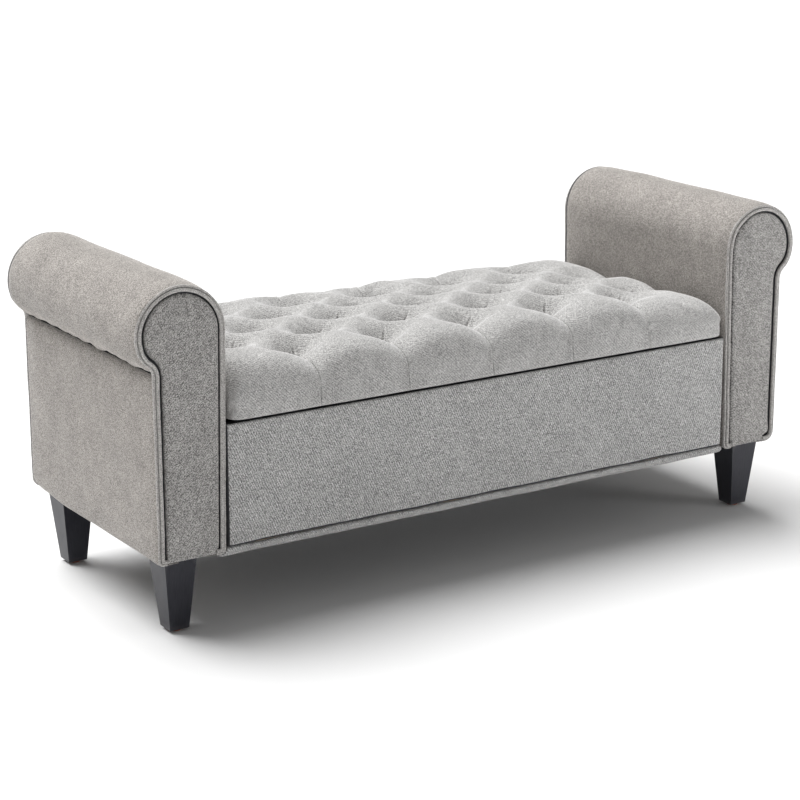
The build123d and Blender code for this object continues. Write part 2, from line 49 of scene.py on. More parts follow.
def waves(p, q, pitch, seed, n=7):
    """A smooth wandering field of about -1..1 over two coordinates, the same every run."""
    rng = np.random.default_rng(seed)
    out = np.zeros(np.broadcast(p, q).shape)
    for _ in range(n):
        a = rng.uniform(0, 2 * math.pi)
        k = 2 * math.pi / (pitch * rng.uniform(0.7, 1.5))
        out = out + np.sin(k * (p * math.cos(a) + q * math.sin(a)) + rng.uniform(0, 2 * math.pi))
    return out / math.sqrt(n) / 1.2


def add_mesh(name, verts, faces, loop_uv=None):
    """A smooth mesh object; loop_uv holds one (u, v) in metres per face corner."""
    me = bpy.data.meshes.new(name)
    me.from_pydata(np.asarray(verts, float).tolist(), [], [list(map(int, f)) for f in faces])
    me.update()
    if loop_uv is not None:
        layer = me.uv_layers.new(name="UVMap")
        layer.data.foreach_set("uv", np.asarray(loop_uv, np.float32).ravel())
    me.polygons.foreach_set("use_smooth", [True] * len(me.polygons))
    ob = bpy.data.objects.new(name, me)
    bpy.context.scene.collection.objects.link(ob)
    return ob


def add_grid(name, P, UV, wrap_u=False, caps=False, flip=False):
    """A grid of points P[u, v] joined into quads, its first direction closed if wrap_u, its ends filled if caps."""
    nu, nv = P.shape[:2]
    idx = np.arange(nu * nv).reshape(nu, nv)
    faces, uv = [], []
    lim = nu if wrap_u else nu - 1
    period = UV[-1, 0, 0] - UV[0, 0, 0] + (UV[1, 0, 0] - UV[0, 0, 0]) if wrap_u else 0
    for i in range(lim):
        k = (i + 1) % nu
        for j in range(nv - 1):
            f = [idx[i, j], idx[k, j], idx[k, j + 1], idx[i, j + 1]]
            add = np.array([period, 0]) if k < i else np.zeros(2)
            c = [UV[i, j], UV[k, j] + add, UV[k, j + 1] + add, UV[i, j + 1]]
            if flip:
                f, c = f[::-1], c[::-1]
            faces.append(f)
            uv.extend(c)
    if caps:
        for j, rev in ((0, False), (nv - 1, True)):
            f = [idx[i, j] for i in range(nu)]
            c = [UV[i, j] for i in range(nu)]
            if rev != flip:
                f, c = f[::-1], c[::-1]
            faces.append(f)
            uv.extend(c)
    return add_mesh(name, P.reshape(-1, 3), faces, uv)


def apply_modifiers(ob):
    dg = bpy.context.evaluated_depsgraph_get()
    me = bpy.data.meshes.new_from_object(ob.evaluated_get(dg), preserve_all_data_layers=True, depsgraph=dg)
    old = ob.data
    ob.modifiers.clear()
    ob.data = me
    bpy.data.meshes.remove(old)


def thicken(ob, t):
    m = ob.modifiers.new("cloth thickness", "SOLIDIFY")
    m.thickness = t
    m.offset = -1.0
    m.use_rim = True


def divide(ob, levels=1):
    m = ob.modifiers.new("smooth", "SUBSURF")
    m.levels = m.render_levels = levels


# -------------------------------------------------------------------- materials
def new_material(name):
    mat = bpy.data.materials.new(name)
    mat.use_nodes = True
    nt = mat.node_tree
    bsdf = nt.nodes["Principled BSDF"]
    return mat, nt, bsdf


def link(nt, a, b):
    nt.links.new(a, b)


def noise_node(nt, coord, scale, detail=2.0, rough=0.5, distortion=0.0):
    n = nt.nodes.new("ShaderNodeTexNoise")
    n.inputs["Scale"].default_value = scale
    n.inputs["Detail"].default_value = detail
    n.inputs["Roughness"].default_value = rough
    n.inputs["Distortion"].default_value = distortion
    link(nt, coord, n.inputs["Vector"])
    return n.outputs["Fac"]


def ramp(nt, fac, stops):
    r = nt.nodes.new("ShaderNodeValToRGB")
    r.color_ramp.elements[0].position = stops[0][0]
    r.color_ramp.elements[0].color = (*stops[0][1], 1)
    r.color_ramp.elements[1].position = stops[-1][0]
    r.color_ramp.elements[1].color = (*stops[-1][1], 1)
    for pos, col in stops[1:-1]:
        e = r.color_ramp.elements.new(pos)
        e.color = (*col, 1)
    link(nt, fac, r.inputs["Fac"])
    return r.outputs["Color"]


def mix(nt, kind, fac, a, b):
    m = nt.nodes.new("ShaderNodeMix")
    m.data_type = "RGBA"
    m.blend_type = kind
    if isinstance(fac, float):
        m.inputs["Factor"].default_value = fac
    else:
        link(nt, fac, m.inputs["Factor"])
    for value, sock in ((a, m.inputs[6]), (b, m.inputs[7])):
        if isinstance(value, tuple):
            sock.default_value = (*value, 1)
        else:
            link(nt, value, sock)
    return m.outputs[2]


def maths(nt, op, a, b=None):
    m = nt.nodes.new("ShaderNodeMath")
    m.operation = op
    for value, sock in ((a, m.inputs[0]), (b, m.inputs[1])):
        if value is None:
            continue
        if isinstance(value, (int, float)):
            sock.default_value = value
        else:
            link(nt, value, sock)
    return m.outputs[0]


def bump(nt, bsdf, height, strength, distance, base=None):
    b = nt.nodes.new("ShaderNodeBump")
    b.inputs["Strength"].default_value = strength
    b.inputs["Distance"].default_value = distance
    link(nt, height, b.inputs["Height"])
    if base is not None:
        link(nt, base, b.inputs["Normal"])
    link(nt, b.outputs["Normal"], bsdf.inputs["Normal"])
    return b.outputs["Normal"]


def heather(name, tone=1.0, warm=0.0, turn=0.0, rib=0.3, mottle=1.0, speck=1.0, relief=1.0, sheen=0.42, fold=0.0, rim_highlight=0.10):
    """Heathered weave: each stitch shows a light or a dark fibre, over faint ribs and a soft uneven nap, with optional
    painted shade in folds and painted highlights on edges, and a painted rim highlight where the surface is seen edge
    on. Lengths are in metres.
    """
    mat, nt, bsdf = new_material(name)
    uv = nt.nodes.new("ShaderNodeUVMap")
    uv.uv_map = "UVMap"
    mp = nt.nodes.new("ShaderNodeMapping")
    mp.inputs["Rotation"].default_value = (0, 0, turn)
    link(nt, uv.outputs["UV"], mp.inputs["Vector"])
    at = mp.outputs["Vector"]

    # stitches, each with its own tone, and a finer broken fibre over them
    vor = nt.nodes.new("ShaderNodeTexVoronoi")
    vor.voronoi_dimensions = "2D"
    vor.inputs["Scale"].default_value = 1050.0
    vor.inputs["Randomness"].default_value = 0.9
    link(nt, at, vor.inputs["Vector"])
    part = nt.nodes.new("ShaderNodeSeparateColor")
    link(nt, vor.outputs["Color"], part.inputs["Color"])
    cell = part.outputs[0]
    fibre = noise_node(nt, at, 1700.0, 1.0, 0.6)
    v = maths(nt, "ADD", maths(nt, "MULTIPLY", cell, 0.72), maths(nt, "MULTIPLY", fibre, 0.60))
    v = maths(nt, "SUBTRACT", v, 0.16)
    mid = 0.40 * tone

    def grey(k):
        return (mid * k, mid * k * 0.992, mid * k * 0.978)

    col = ramp(nt, v, [(0.12, grey(1 - 0.74 * speck)), (0.40, grey(1 - 0.20 * speck)), (0.60, grey(1 + 0.24 * speck)), (0.88, grey(1 + 0.95 * speck))])

    # slanting ribs of the weave
    w = nt.nodes.new("ShaderNodeTexWave")
    w.wave_type = "BANDS"
    w.bands_direction = "DIAGONAL"
    w.inputs["Scale"].default_value = 118.0
    w.inputs["Distortion"].default_value = 3.0
    w.inputs["Detail"].default_value = 1.0
    w.inputs["Detail Scale"].default_value = 0.6
    link(nt, at, w.inputs["Vector"])
    # each rib is broken into short floats
    w2 = nt.nodes.new("ShaderNodeTexWave")
    w2.wave_type = "BANDS"
    w2.bands_direction = "Y"
    w2.inputs["Scale"].default_value = 52.0
    w2.inputs["Distortion"].default_value = 5.0
    w2.inputs["Detail"].default_value = 1.0
    w2.inputs["Detail Scale"].default_value = 2.5
    link(nt, at, w2.inputs["Vector"])
    twill = maths(nt, "MULTIPLY", w.outputs["Fac"], maths(nt, "ADD", 0.62, maths(nt, "MULTIPLY", w2.outputs["Fac"], 0.42)))
    col = mix(nt, "OVERLAY", rib, col, ramp(nt, twill, [(0.08, (0.26, 0.26, 0.26)), (0.80, (0.76, 0.76, 0.76))]))

    # nap: broad soft patches a little lighter or darker
    nap = noise_node(nt, at, 26.0, 3.0, 0.55, 0.2)
    broad = noise_node(nt, at, 6.0, 2.0, 0.5, 0.2)
    patches = maths(nt, "ADD", maths(nt, "MULTIPLY", nap, 0.55), maths(nt, "MULTIPLY", broad, 0.45))
    k = 0.050 * mottle
    col = mix(nt, "OVERLAY", 1.0, col, ramp(nt, patches, [
        (0.38, (0.5 - k, 0.5 - k, 0.5 - k)),
        (0.62, (0.5 + k, 0.5 + k, 0.5 + k)),
    ]))
    if warm:
        col = mix(nt, "MULTIPLY", 1.0, col, (1.0, 1.0 - 0.040 * warm, 1.0 - 0.076 * warm))
    if fold:
        # painted shade where the cloth folds in and painted highlight along its edges, read from the mesh's curvature
        geo = nt.nodes.new("ShaderNodeNewGeometry")
        col = mix(nt, "OVERLAY", fold, col, ramp(nt, geo.outputs["Pointiness"], [
            (0.440, (0.16, 0.16, 0.16)), (0.485, (0.46, 0.46, 0.46)), (0.515, (0.53, 0.53, 0.53)), (0.560, (0.80, 0.80, 0.80))]))
    # painted highlight: the colour is paler where the surface is seen edge on, a painted rim of sheen
    lw = nt.nodes.new("ShaderNodeLayerWeight")
    lw.inputs["Blend"].default_value = 0.5
    col = mix(nt, "OVERLAY", 1.0, col, ramp(nt, lw.outputs["Facing"], [
        (0.74, (0.5, 0.5, 0.5)), (0.97, (0.5 + rim_highlight, 0.5 + rim_highlight, 0.5 + rim_highlight))]))
    link(nt, col, bsdf.inputs["Base Color"])
    bsdf.inputs["Roughness"].default_value = 0.95
    bsdf.inputs["Specular IOR Level"].default_value = 0.15
    bsdf.inputs["Sheen Weight"].default_value = sheen
    bsdf.inputs["Sheen Roughness"].default_value = 0.30
    bsdf.inputs["Sheen Tint"].default_value = (0.96, 0.96, 0.97, 1)
    mound = maths(nt, "SUBTRACT", 1.0, vor.outputs["Distance"])
    height = maths(nt, "ADD", maths(nt, "MULTIPLY", mound, 0.6), maths(nt, "MULTIPLY", twill, 0.4 * rib))
    n = bump(nt, bsdf, height, 0.45 * relief, 0.0009)
    bump(nt, bsdf, fibre, 0.30 * relief, 0.0005, n)
    return mat


def object_coords(nt):
    return nt.nodes.new("ShaderNodeTexCoord").outputs["Object"]


def lacquer(name):
    """Black satin lacquer over wood: faint grain, slight unevenness, edges a little worn."""
    mat, nt, bsdf = new_material(name)
    mp = nt.nodes.new("ShaderNodeMapping")
    mp.inputs["Scale"].default_value = (1.0, 1.0, 0.08)
    link(nt, object_coords(nt), mp.inputs["Vector"])
    grain = noise_node(nt, mp.outputs["Vector"], 420.0, 5.0, 0.6, 0.4)
    broad = noise_node(nt, object_coords(nt), 45.0, 3.0, 0.5)
    col = ramp(nt, grain, [(0.3, (0.011, 0.011, 0.015)), (0.75, (0.023, 0.023, 0.030))])
    geo = nt.nodes.new("ShaderNodeNewGeometry")
    edge = ramp(nt, geo.outputs["Pointiness"], [(0.5, (0, 0, 0)), (0.62, (0.25, 0.25, 0.25))])
    col = mix(nt, "ADD", 0.25, col, edge)
    link(nt, col, bsdf.inputs["Base Color"])
    rough = ramp(nt, maths(nt, "ADD", maths(nt, "MULTIPLY", grain, 0.4), maths(nt, "MULTIPLY", broad, 0.6)),
                 [(0.3, (0.27, 0.27, 0.27)), (0.7, (0.40, 0.40, 0.40))])
    link(nt, rough, bsdf.inputs["Roughness"])
    bsdf.inputs["Specular IOR Level"].default_value = 0.42
    bsdf.inputs["Specular Tint"].default_value = (0.92, 0.93, 1.0, 1)
    bump(nt, bsdf, grain, 0.12, 0.0006)
    return mat


def timber(name, dark, light):
    """Bare plywood and softwood: long grain with pores."""
    mat, nt, bsdf = new_material(name)
    mp = nt.nodes.new("ShaderNodeMapping")
    mp.inputs["Scale"].default_value = (0.12, 1.0, 1.0)
    link(nt, object_coords(nt), mp.inputs["Vector"])
    grain = noise_node(nt, mp.outputs["Vector"], 90.0, 6.0, 0.62, 1.2)
    pores = noise_node(nt, mp.outputs["Vector"], 900.0, 3.0, 0.7)
    col = ramp(nt, grain, [(0.3, dark), (0.7, light)])
    col = mix(nt, "MULTIPLY", 0.5, col, ramp(nt, pores, [(0.35, (0.55, 0.5, 0.45)), (0.5, (1, 1, 1))]))
    link(nt, col, bsdf.inputs["Base Color"])
    bsdf.inputs["Roughness"].default_value = 0.72
    bump(nt, bsdf, maths(nt, "ADD", grain, pores), 0.2, 0.0006)
    return mat


def nonwoven(name, dark, light):
    """Pressed dust cloth: matted fibres with a fine point-bonded grid."""
    mat, nt, bsdf = new_material(name)
    at = object_coords(nt)
    fibres = noise_node(nt, at, 700.0, 5.0, 0.75, 1.5)
    vor = nt.nodes.new("ShaderNodeTexVoronoi")
    vor.inputs["Scale"].default_value = 420.0
    vor.inputs["Randomness"].default_value = 0.15
    link(nt, at, vor.inputs["Vector"])
    dots = vor.outputs["Distance"]
    col = ramp(nt, maths(nt, "ADD", maths(nt, "MULTIPLY", fibres, 0.7), maths(nt, "MULTIPLY", dots, 0.4)), [(0.3, dark), (0.75, light)])
    link(nt, col, bsdf.inputs["Base Color"])
    bsdf.inputs["Roughness"].default_value = 0.88
    bsdf.inputs["Specular IOR Level"].default_value = 0.2
    bump(nt, bsdf, maths(nt, "ADD", fibres, dots), 0.3, 0.0006)
    return mat


def metal(name, base, rough, metallic=1.0, scratch=0.06):
    mat, nt, bsdf = new_material(name)
    at = object_coords(nt)
    fine = noise_node(nt, at, 900.0, 4.0, 0.6)
    broad = noise_node(nt, at, 60.0, 3.0, 0.5)
    lo = tuple(c * 0.86 for c in base)
    link(nt, ramp(nt, broad, [(0.35, lo), (0.65, base)]), bsdf.inputs["Base Color"])
    link(nt, ramp(nt, maths(nt, "ADD", maths(nt, "MULTIPLY", fine, 0.5), maths(nt, "MULTIPLY", broad, 0.5)),
                  [(0.3, (rough - scratch,) * 3), (0.7, (rough + scratch,) * 3)]), bsdf.inputs["Roughness"])
    bsdf.inputs["Metallic"].default_value = metallic
    bump(nt, bsdf, fine, 0.06, 0.0003)
    return mat


def moulded(name, dark, light, rough):
    """Moulded or felt-like small parts with a fine grain."""
    mat, nt, bsdf = new_material(name)
    at = object_coords(nt)
    grain = noise_node(nt, at, 1300.0, 4.0, 0.7)
    link(nt, ramp(nt, grain, [(0.3, dark), (0.7, light)]), bsdf.inputs["Base Color"])
    bsdf.inputs["Roughness"].default_value = rough
    bump(nt, bsdf, grain, 0.3, 0.0004)
    return mat


# One heathered cloth on every part in different tones: the seat's paler tone is painted light on the lit top, the lower
# tones of the panels, arms and facings are painted shade on the sides and fronts, and the arms' warmer tint is painted
# warm light from the left. The seat also gets painted fold shade and edge highlights.
SEAT_CLOTH = heather("seat_heather", 1.03, 0.15, 0.0, 0.34, 0.4, 0.68, 0.8, 0.60, 0.85, 0.26)
PANEL_CLOTH = heather("panel_heather", 0.93, 0.0, 0.35, 0.62, 0.6, 0.92, 1.0)
ARM_CLOTH = heather("arm_heather", 0.80, 1.45, 0.0, 0.12, 1.0, 0.75, rim_highlight=0.22)
FACING_CLOTH = heather("facing_heather", 0.75, 0.50, 0.0, 0.22, 0.9, 1.05)
PIPE_CLOTH = heather("piping_heather", 1.05, 0.6, 0.785, 0.15, 0.4, 0.6)
LEG_BLACK = lacquer("leg_black_lacquer")
BARE_WOOD = timber("bare_timber", (0.42, 0.27, 0.14), (0.68, 0.50, 0.31))
DUST_CLOTH = nonwoven("dust_cloth_black", (0.012, 0.012, 0.013), (0.05, 0.05, 0.052))
# black lining cloth, also put into seams and gaps as painted shade
LINING_AND_SHADE_CLOTH = nonwoven("lining_black_and_painted_shade", (0.020, 0.020, 0.022), (0.075, 0.075, 0.08))
ZINC = metal("zinc_plate", (0.66, 0.65, 0.61), 0.34)
STRUT_PAINT = metal("strut_black_paint", (0.03, 0.03, 0.032), 0.36, 0.0)
ROD_CHROME = metal("strut_rod_polish", (0.80, 0.80, 0.82), 0.12, 1.0, 0.03)
GLIDE = moulded("glide_brown", (0.20, 0.050, 0.024), (0.42, 0.13, 0.07), 0.7)
RUBBER = moulded("bumper_rubber_black", (0.015, 0.015, 0.015), (0.04, 0.04, 0.04), 0.8)

for name, ob in NODES.items():
    if name.startswith("leg_") and name != "leg_bolts":
        mat = LEG_BLACK
    elif name == "foot_glides":
        mat = GLIDE
    elif name == "lid_bumpers":
        mat = RUBBER
    elif name in ("leg_bolts", "arm_bolts", "tee_nuts", "hinge_leaves_lid", "hinge_leaves_rear", "hinge_pins"):
        mat = ZINC
    elif name.startswith("strut_brackets") or name.endswith("_cylinder"):
        mat = STRUT_PAINT
    elif name.endswith("_rod"):
        mat = ROD_CHROME
    else:
        mat = BARE_WOOD
    ob.data.materials.clear()
    ob.data.materials.append(mat)

for name in ("leg_front_left", "leg_front_right", "leg_rear_left", "leg_rear_right"):
    m = NODES[name].modifiers.new("eased edges", "BEVEL")
    m.width = 0.0011
    m.segments = 3
    m.limit_method = "ANGLE"
    m.angle_limit = math.radians(35)
    m.harden_normals = False


def dress(ob, mat, body, *nodes, slot="upholstery", fill=None):
    ob.data.materials.clear()
    ob.data.materials.append(mat)
    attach(ob, body)
    if nodes:
        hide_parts(*nodes)
    return ob


# --------------------------------------------------------- the arm's outline, metres
ROLL_R, ROLL_X, ROLL_Z = 0.0745, 0.5655, 0.482
INNER_X, OUTER_X, ARM_Z = 0.499, 0.613, 0.126
UNDER_R, UNDER_FROM = 0.045, -15.0
NECK_R = 0.020
CREASE_Z = 0.430


def polar(c, r, deg):
    return np.array([c[0] + r * math.cos(math.radians(deg)), c[1] + r * math.sin(math.radians(deg))])


def arc_points(c, r, a0, a1, step=0.002):
    n = max(3, int(abs(math.radians(a1 - a0)) * abs(r) / step))
    return [polar(c, r, a0 + (a1 - a0) * i / n) for i in range(n + 1)]


C1 = (ROLL_X, ROLL_Z)
C2 = tuple(polar(C1, ROLL_R - UNDER_R, UNDER_FROM))
_dx = OUTER_X + NECK_R - C2[0]
C3 = (OUTER_X + NECK_R, C2[1] - math.sqrt((UNDER_R + NECK_R) ** 2 - _dx**2))
NECK_FROM = math.degrees(math.atan2(C3[1] - C2[1], C3[0] - C2[0]))
_d = math.hypot(C1[0] - INNER_X, C1[1] - ARM_Z)
LEAN = math.asin(ROLL_R / _d) - math.atan2(C1[0] - INNER_X, C1[1] - ARM_Z)
TANGENT = 180.0 + math.degrees(LEAN)


def resample(pts, step):
    pts = np.array(pts)
    keep = np.concatenate([[True], np.linalg.norm(np.diff(pts, axis=0), axis=1) > 1e-7])
    pts = pts[keep]
    s = np.concatenate([[0], np.cumsum(np.linalg.norm(np.diff(pts, axis=0), axis=1))])
    n = max(4, int(round(s[-1] / step)) + 1)
    t = np.linspace(0, s[-1], n)
    return np.stack([np.interp(t, s, pts[:, 0]), np.interp(t, s, pts[:, 1])], 1), t


def normals_of(pts):
    """Outward normals of a path that goes up the inner face, over the roll and down the outer face."""
    d = np.gradient(pts, axis=0)
    d /= np.linalg.norm(d, axis=1)[:, None]
    return np.stack([-d[:, 1], d[:, 0]], 1)


def arm_path(corner_out, step=0.003, under_in=0.02, under_out=0.02, to_crease=False, from_crease=False, r_in=0.007):
    """The arm's outline for the right-hand side as (x, z) points, from under the inner edge to under the outer edge."""
    pts = []
    if not from_crease:
        tan = math.tan(LEAN)
        base = np.array([INNER_X, ARM_Z])
        pts += [base + (under_in, 0), base + (r_in + 0.001, 0)]
        c = base + (r_in, r_in)
        pts += [c + r_in * np.array([math.cos(a), math.sin(a)]) for a in np.linspace(-math.pi / 2, -math.pi, 6)]
        pts += [polar(C1, ROLL_R, TANGENT)]
        pts[-2] = np.array([INNER_X - tan * r_in, ARM_Z + r_in])
        pts += arc_points(C1, ROLL_R, TANGENT, UNDER_FROM)
        pts += arc_points(C2, UNDER_R, UNDER_FROM, NECK_FROM)
        if to_crease:
            pts += arc_points(C2, UNDER_R, NECK_FROM, -60.0)[1:]
            pts += [np.array([0.6162, CREASE_Z + 0.0030]), np.array([0.6135, CREASE_Z + 0.0009]), np.array([0.603, CREASE_Z + 0.0005])]
            return resample(pts, step)
        pts += arc_points(C3, NECK_R, 180 + NECK_FROM, 180.0)
    else:
        pts += [np.array([0.600, CREASE_Z - 0.0040]), np.array([0.6062, CREASE_Z - 0.0045]), np.array([0.6106, CREASE_Z - 0.0085]), np.array([0.6125, CREASE_Z - 0.0150]), np.array([0.613, CREASE_Z - 0.022])]
    r = corner_out
    pts += [np.array([OUTER_X, ARM_Z + r])]
    pts += [np.array([OUTER_X - r, ARM_Z + r]) + r * np.array([math.cos(a), math.sin(a)]) for a in np.linspace(0, -math.pi / 2, 8)]
    pts += [np.array([OUTER_X - under_out, ARM_Z])]
    return resample(pts, step)


def soften(pts, times):
    pts = pts.copy()
    for _ in range(times):
        pts[1:-1] = 0.25 * pts[:-2] + 0.5 * pts[1:-1] + 0.25 * pts[2:]
    return pts


def y_lines(half, step):
    """Positions along the arm, closer together near its two ends."""
    n = int(2 * half / step)
    t = np.linspace(-1, 1, n + 1)
    return half * (0.75 * t + 0.25 * np.sin(t * math.pi / 2))


OUT_CORNER = {"left": 0.006, "right": 0.018}
REAR_CORNER = 0.018


def paint_seam_shade(ob, across, rows, cols):
    """Painted shade: black cloth where the cloth goes down into a seam, on the marked rows and the marked columns."""
    ob.data.materials.append(LINING_AND_SHADE_CLOTH)
    for k, p in enumerate(ob.data.polygons):
        i, j = divmod(k, across)
        if (rows[i] and rows[i + 1]) or (cols[j + 1]):
            p.material_index = 1


for side, s in SIDES:
    seed = 11 if s < 0 else 23
    corner = OUT_CORNER[side]

    # -- roll and inner face: one piece of cloth over foam
    pts, u = arm_path(corner, 0.0042, 0.03, to_crease=True)
    pts = soften(pts, 2)
    nrm = normals_of(pts)
    ys = np.sort(np.append(y_lines(0.2325, 0.0055), 0.2268))
    Y, U = np.meshgrid(ys, u)
    end = np.minimum(0.2325 - np.abs(Y), 0.06)
    z_here = pts[:, 1][:, None] * np.ones_like(Y)
    total = u[-1]
    lift = 0.0012 * smooth(end / 0.022) - 0.0012 * (1 - smooth(end / 0.012))
    lift = lift + 0.0007 * waves(U, Y, 0.12, seed)
    on_roll = smooth((U - 0.36) / 0.06) * smooth((total - U) / 0.04)
    lift = lift + on_roll * 0.0012 * smooth(end / 0.05)
    # pull marks where the cloth is drawn into the crease under the roll
    near = np.exp(-((total - 0.012 - U) / 0.016) ** 2)
    pull = np.sin(Y * 2 * math.pi / 0.043 + 1.3 * np.sin(Y * 31 + seed)) + 0.8 * waves(Y, U * 0.2, 0.03, seed + 3)
    lift = lift - near * 0.0008 * (pull + 0.5) * smooth(end / 0.02)
    P = np.zeros((*Y.shape, 3))
    P[..., 0] = s * (pts[:, 0][:, None] + nrm[:, 0][:, None] * lift)
    P[..., 1] = Y
    P[..., 2] = pts[:, 1][:, None] + nrm[:, 1][:, None] * lift
    # the crease line itself wanders a little
    crease = smooth((U - (total - 0.035)) / 0.03)
    P[..., 2] += crease * (0.0016 * waves(Y, Y * 0, 0.09, seed + 5) + 0.0003 * pull) * smooth(end / 0.03)
    UV = np.stack([Y, U], -1)
    wrap = add_grid(f"arm_{side}_wrap", P, UV, flip=s > 0)
    thicken(wrap, 0.0016)
    divide(wrap)
    dress(wrap, ARM_CLOTH, "frame", f"arm_{side}_cover", f"arm_{side}_foam", fill=0.9)
    # painted shade: black in the crease under the roll and along the rear end, where the seams lie in shadow
    paint_seam_shade(wrap, len(ys) - 1, u > total - 0.0125, ys > 0.2270)

    # -- outer side panel, tucked up under the roll, turned under at the bottom
    pts, u = arm_path(corner, 0.0045, under_out=0.035, from_crease=True)
    pts = soften(pts, 1)
    nrm = normals_of(pts)
    # the lower outer corner is rounder at the rear than at the front
    pts_r, u_r = arm_path(REAR_CORNER, 0.0045, under_out=0.035, from_crease=True)
    pts_r = soften(pts_r, 1)
    u_at = u / u[-1] * u_r[-1]
    pts_r = np.stack([np.interp(u_at, u_r, pts_r[:, 0]), np.interp(u_at, u_r, pts_r[:, 1])], 1)
    nrm_r = normals_of(pts_r)
    Y, U = np.meshgrid(ys, u)
    rear = smooth((Y - 0.10) / 0.11)
    end = np.minimum(0.2325 - np.abs(Y), 0.06)
    low = u[-1] - 0.035 - U
    lift = 0.0016 * smooth(end / 0.05) * smooth(U / 0.05) * smooth(low / 0.04) - 0.0014 * (1 - smooth(end / 0.010))
    lift = lift + 0.0006 * waves(U, Y, 0.14, seed + 8) * smooth(U / 0.02)
    lift = lift + np.exp(-((U - 0.020) / 0.018) ** 2) * 0.0007 * np.sin(Y * 2 * math.pi / 0.043 + 1.3 * np.sin(Y * 31 + seed)) * smooth(end / 0.03)
    P = np.zeros((*Y.shape, 3))
    P[..., 0] = s * ((pts[:, 0][:, None] + nrm[:, 0][:, None] * lift) * (1 - rear) + (pts_r[:, 0][:, None] + nrm_r[:, 0][:, None] * lift) * rear)
    P[..., 1] = Y
    z = (pts[:, 1][:, None] + nrm[:, 1][:, None] * lift) * (1 - rear) + (pts_r[:, 1][:, None] + nrm_r[:, 1][:, None] * lift) * rear
    # the panel's lower rear corner is rounded off on one arm
    round_off = 0.010 * smooth((Y - 0.195) / 0.042) ** 2 if s < 0 else 0.006 * smooth((Y - 0.205) / 0.03) ** 2
    share = np.clip((0.26 - z) / 0.134, 0, 1)
    P[..., 2] = z + round_off * share
    UV = np.stack([Y, U + 0.4], -1)
    panel = add_grid(f"arm_{side}_side_panel", P, UV, flip=s > 0)
    thicken(panel, 0.0016)
    divide(panel)
    dress(panel, ARM_CLOTH, "frame", f"arm_{side}_outer_cover", fill=0.8)
    # painted shade: black at the panel's top in the crease under the roll and along the rear end
    paint_seam_shade(panel, len(ys) - 1, u < 0.0105, ys > 0.2270)

    # -- facings and piping at both ends
    for end_name, e in (("front", -1.0), ("rear", 1.0)):
        c_end = corner if e < 0 else REAR_CORNER
        outline, uo = arm_path(c_end, 0.003, 0.016, c_end + 0.008)
        outline = soften(outline, 1)
        on = normals_of(outline)
        # height levels, close together at the top of the roll and at the bottom edge
        inset, in_a, in_b = 0.0130, (0.0109 if s < 0 else 0.0138), (0.0148 if s < 0 else 0.0134)
        th = np.linspace(math.pi / 2, 0.0, 34)
        zs_top = ROLL_Z + (ROLL_R - inset) * np.sin(th)
        zs = np.concatenate([zs_top, np.linspace(ROLL_Z - 0.004, ARM_Z + 0.012, 86), ARM_Z + np.array([0.0085, 0.0055, 0.003, 0.0014])])
        nmid = int(np.argmax(outline[:, 1]))
        a, b = (outline - on * in_a)[: nmid + 1], (outline - on * in_b)[nmid:][::-1]
        xa = np.interp(zs, np.maximum.accumulate(a[:, 1]), a[:, 0])
        xb = np.interp(zs, np.maximum.accumulate(b[:, 1]), b[:, 0])
        # on the roll itself use the exact circle, so the top closes smoothly
        half = np.sqrt(np.clip(1 - ((zs - ROLL_Z) / (ROLL_R - inset)) ** 2, 1e-9, None))
        k = smooth((zs - ROLL_Z + 0.002) / 0.01)
        xa = xa * (1 - k) + (ROLL_X - half * (ROLL_R - in_a)) * k
        xb = xb * (1 - k) + (ROLL_X + half * (ROLL_R - in_b)) * k
        # the pad closes up to the piping as it reaches the round lower corner
        close = (in_b - 0.0108) * smooth((ARM_Z + 0.052 - zs) / 0.034) * (c_end > in_b)
        xb = xb + close
        xb = np.where(zs < ARM_Z + c_end, np.minimum(xb, OUTER_X - c_end + np.sqrt(np.clip((max(c_end - in_b, 0.0) + close) ** 2 - (ARM_Z + c_end - zs) ** 2, 0, None))), xb)
        xa = np.minimum(xa, xb - 0.001)
        ncol = 57
        w = 0.5 - 0.5 * np.cos(np.linspace(0, math.pi, ncol))
        X = xa[:, None] * (1 - w) + xb[:, None] * w
        Z = zs[:, None] * np.ones_like(X)
        # depth from the pad's edge
        ring = np.concatenate([np.stack([xa, zs], 1), np.stack([xb, zs], 1)[::-1]])
        q = np.stack([X.ravel(), Z.ravel()], 1)
        dist = np.full(len(q), 9.0)
        for a0, a1 in zip(ring, np.roll(ring, -1, axis=0)):
            d = a1 - a0
            t = np.clip(((q - a0) @ d) / max(d @ d, 1e-12), 0, 1)
            dist = np.minimum(dist, np.linalg.norm(q - a0 - t[:, None] * d, axis=1))
        dist = dist.reshape(X.shape)
        edge = np.sqrt(1 - (1 - np.clip(dist / 0.007, 0, 1)) ** 2)
        depth = 0.0022 + 0.0048 * edge + 0.0016 * smooth(dist / 0.05)
        fseed = seed + (40 if e < 0 else 60)
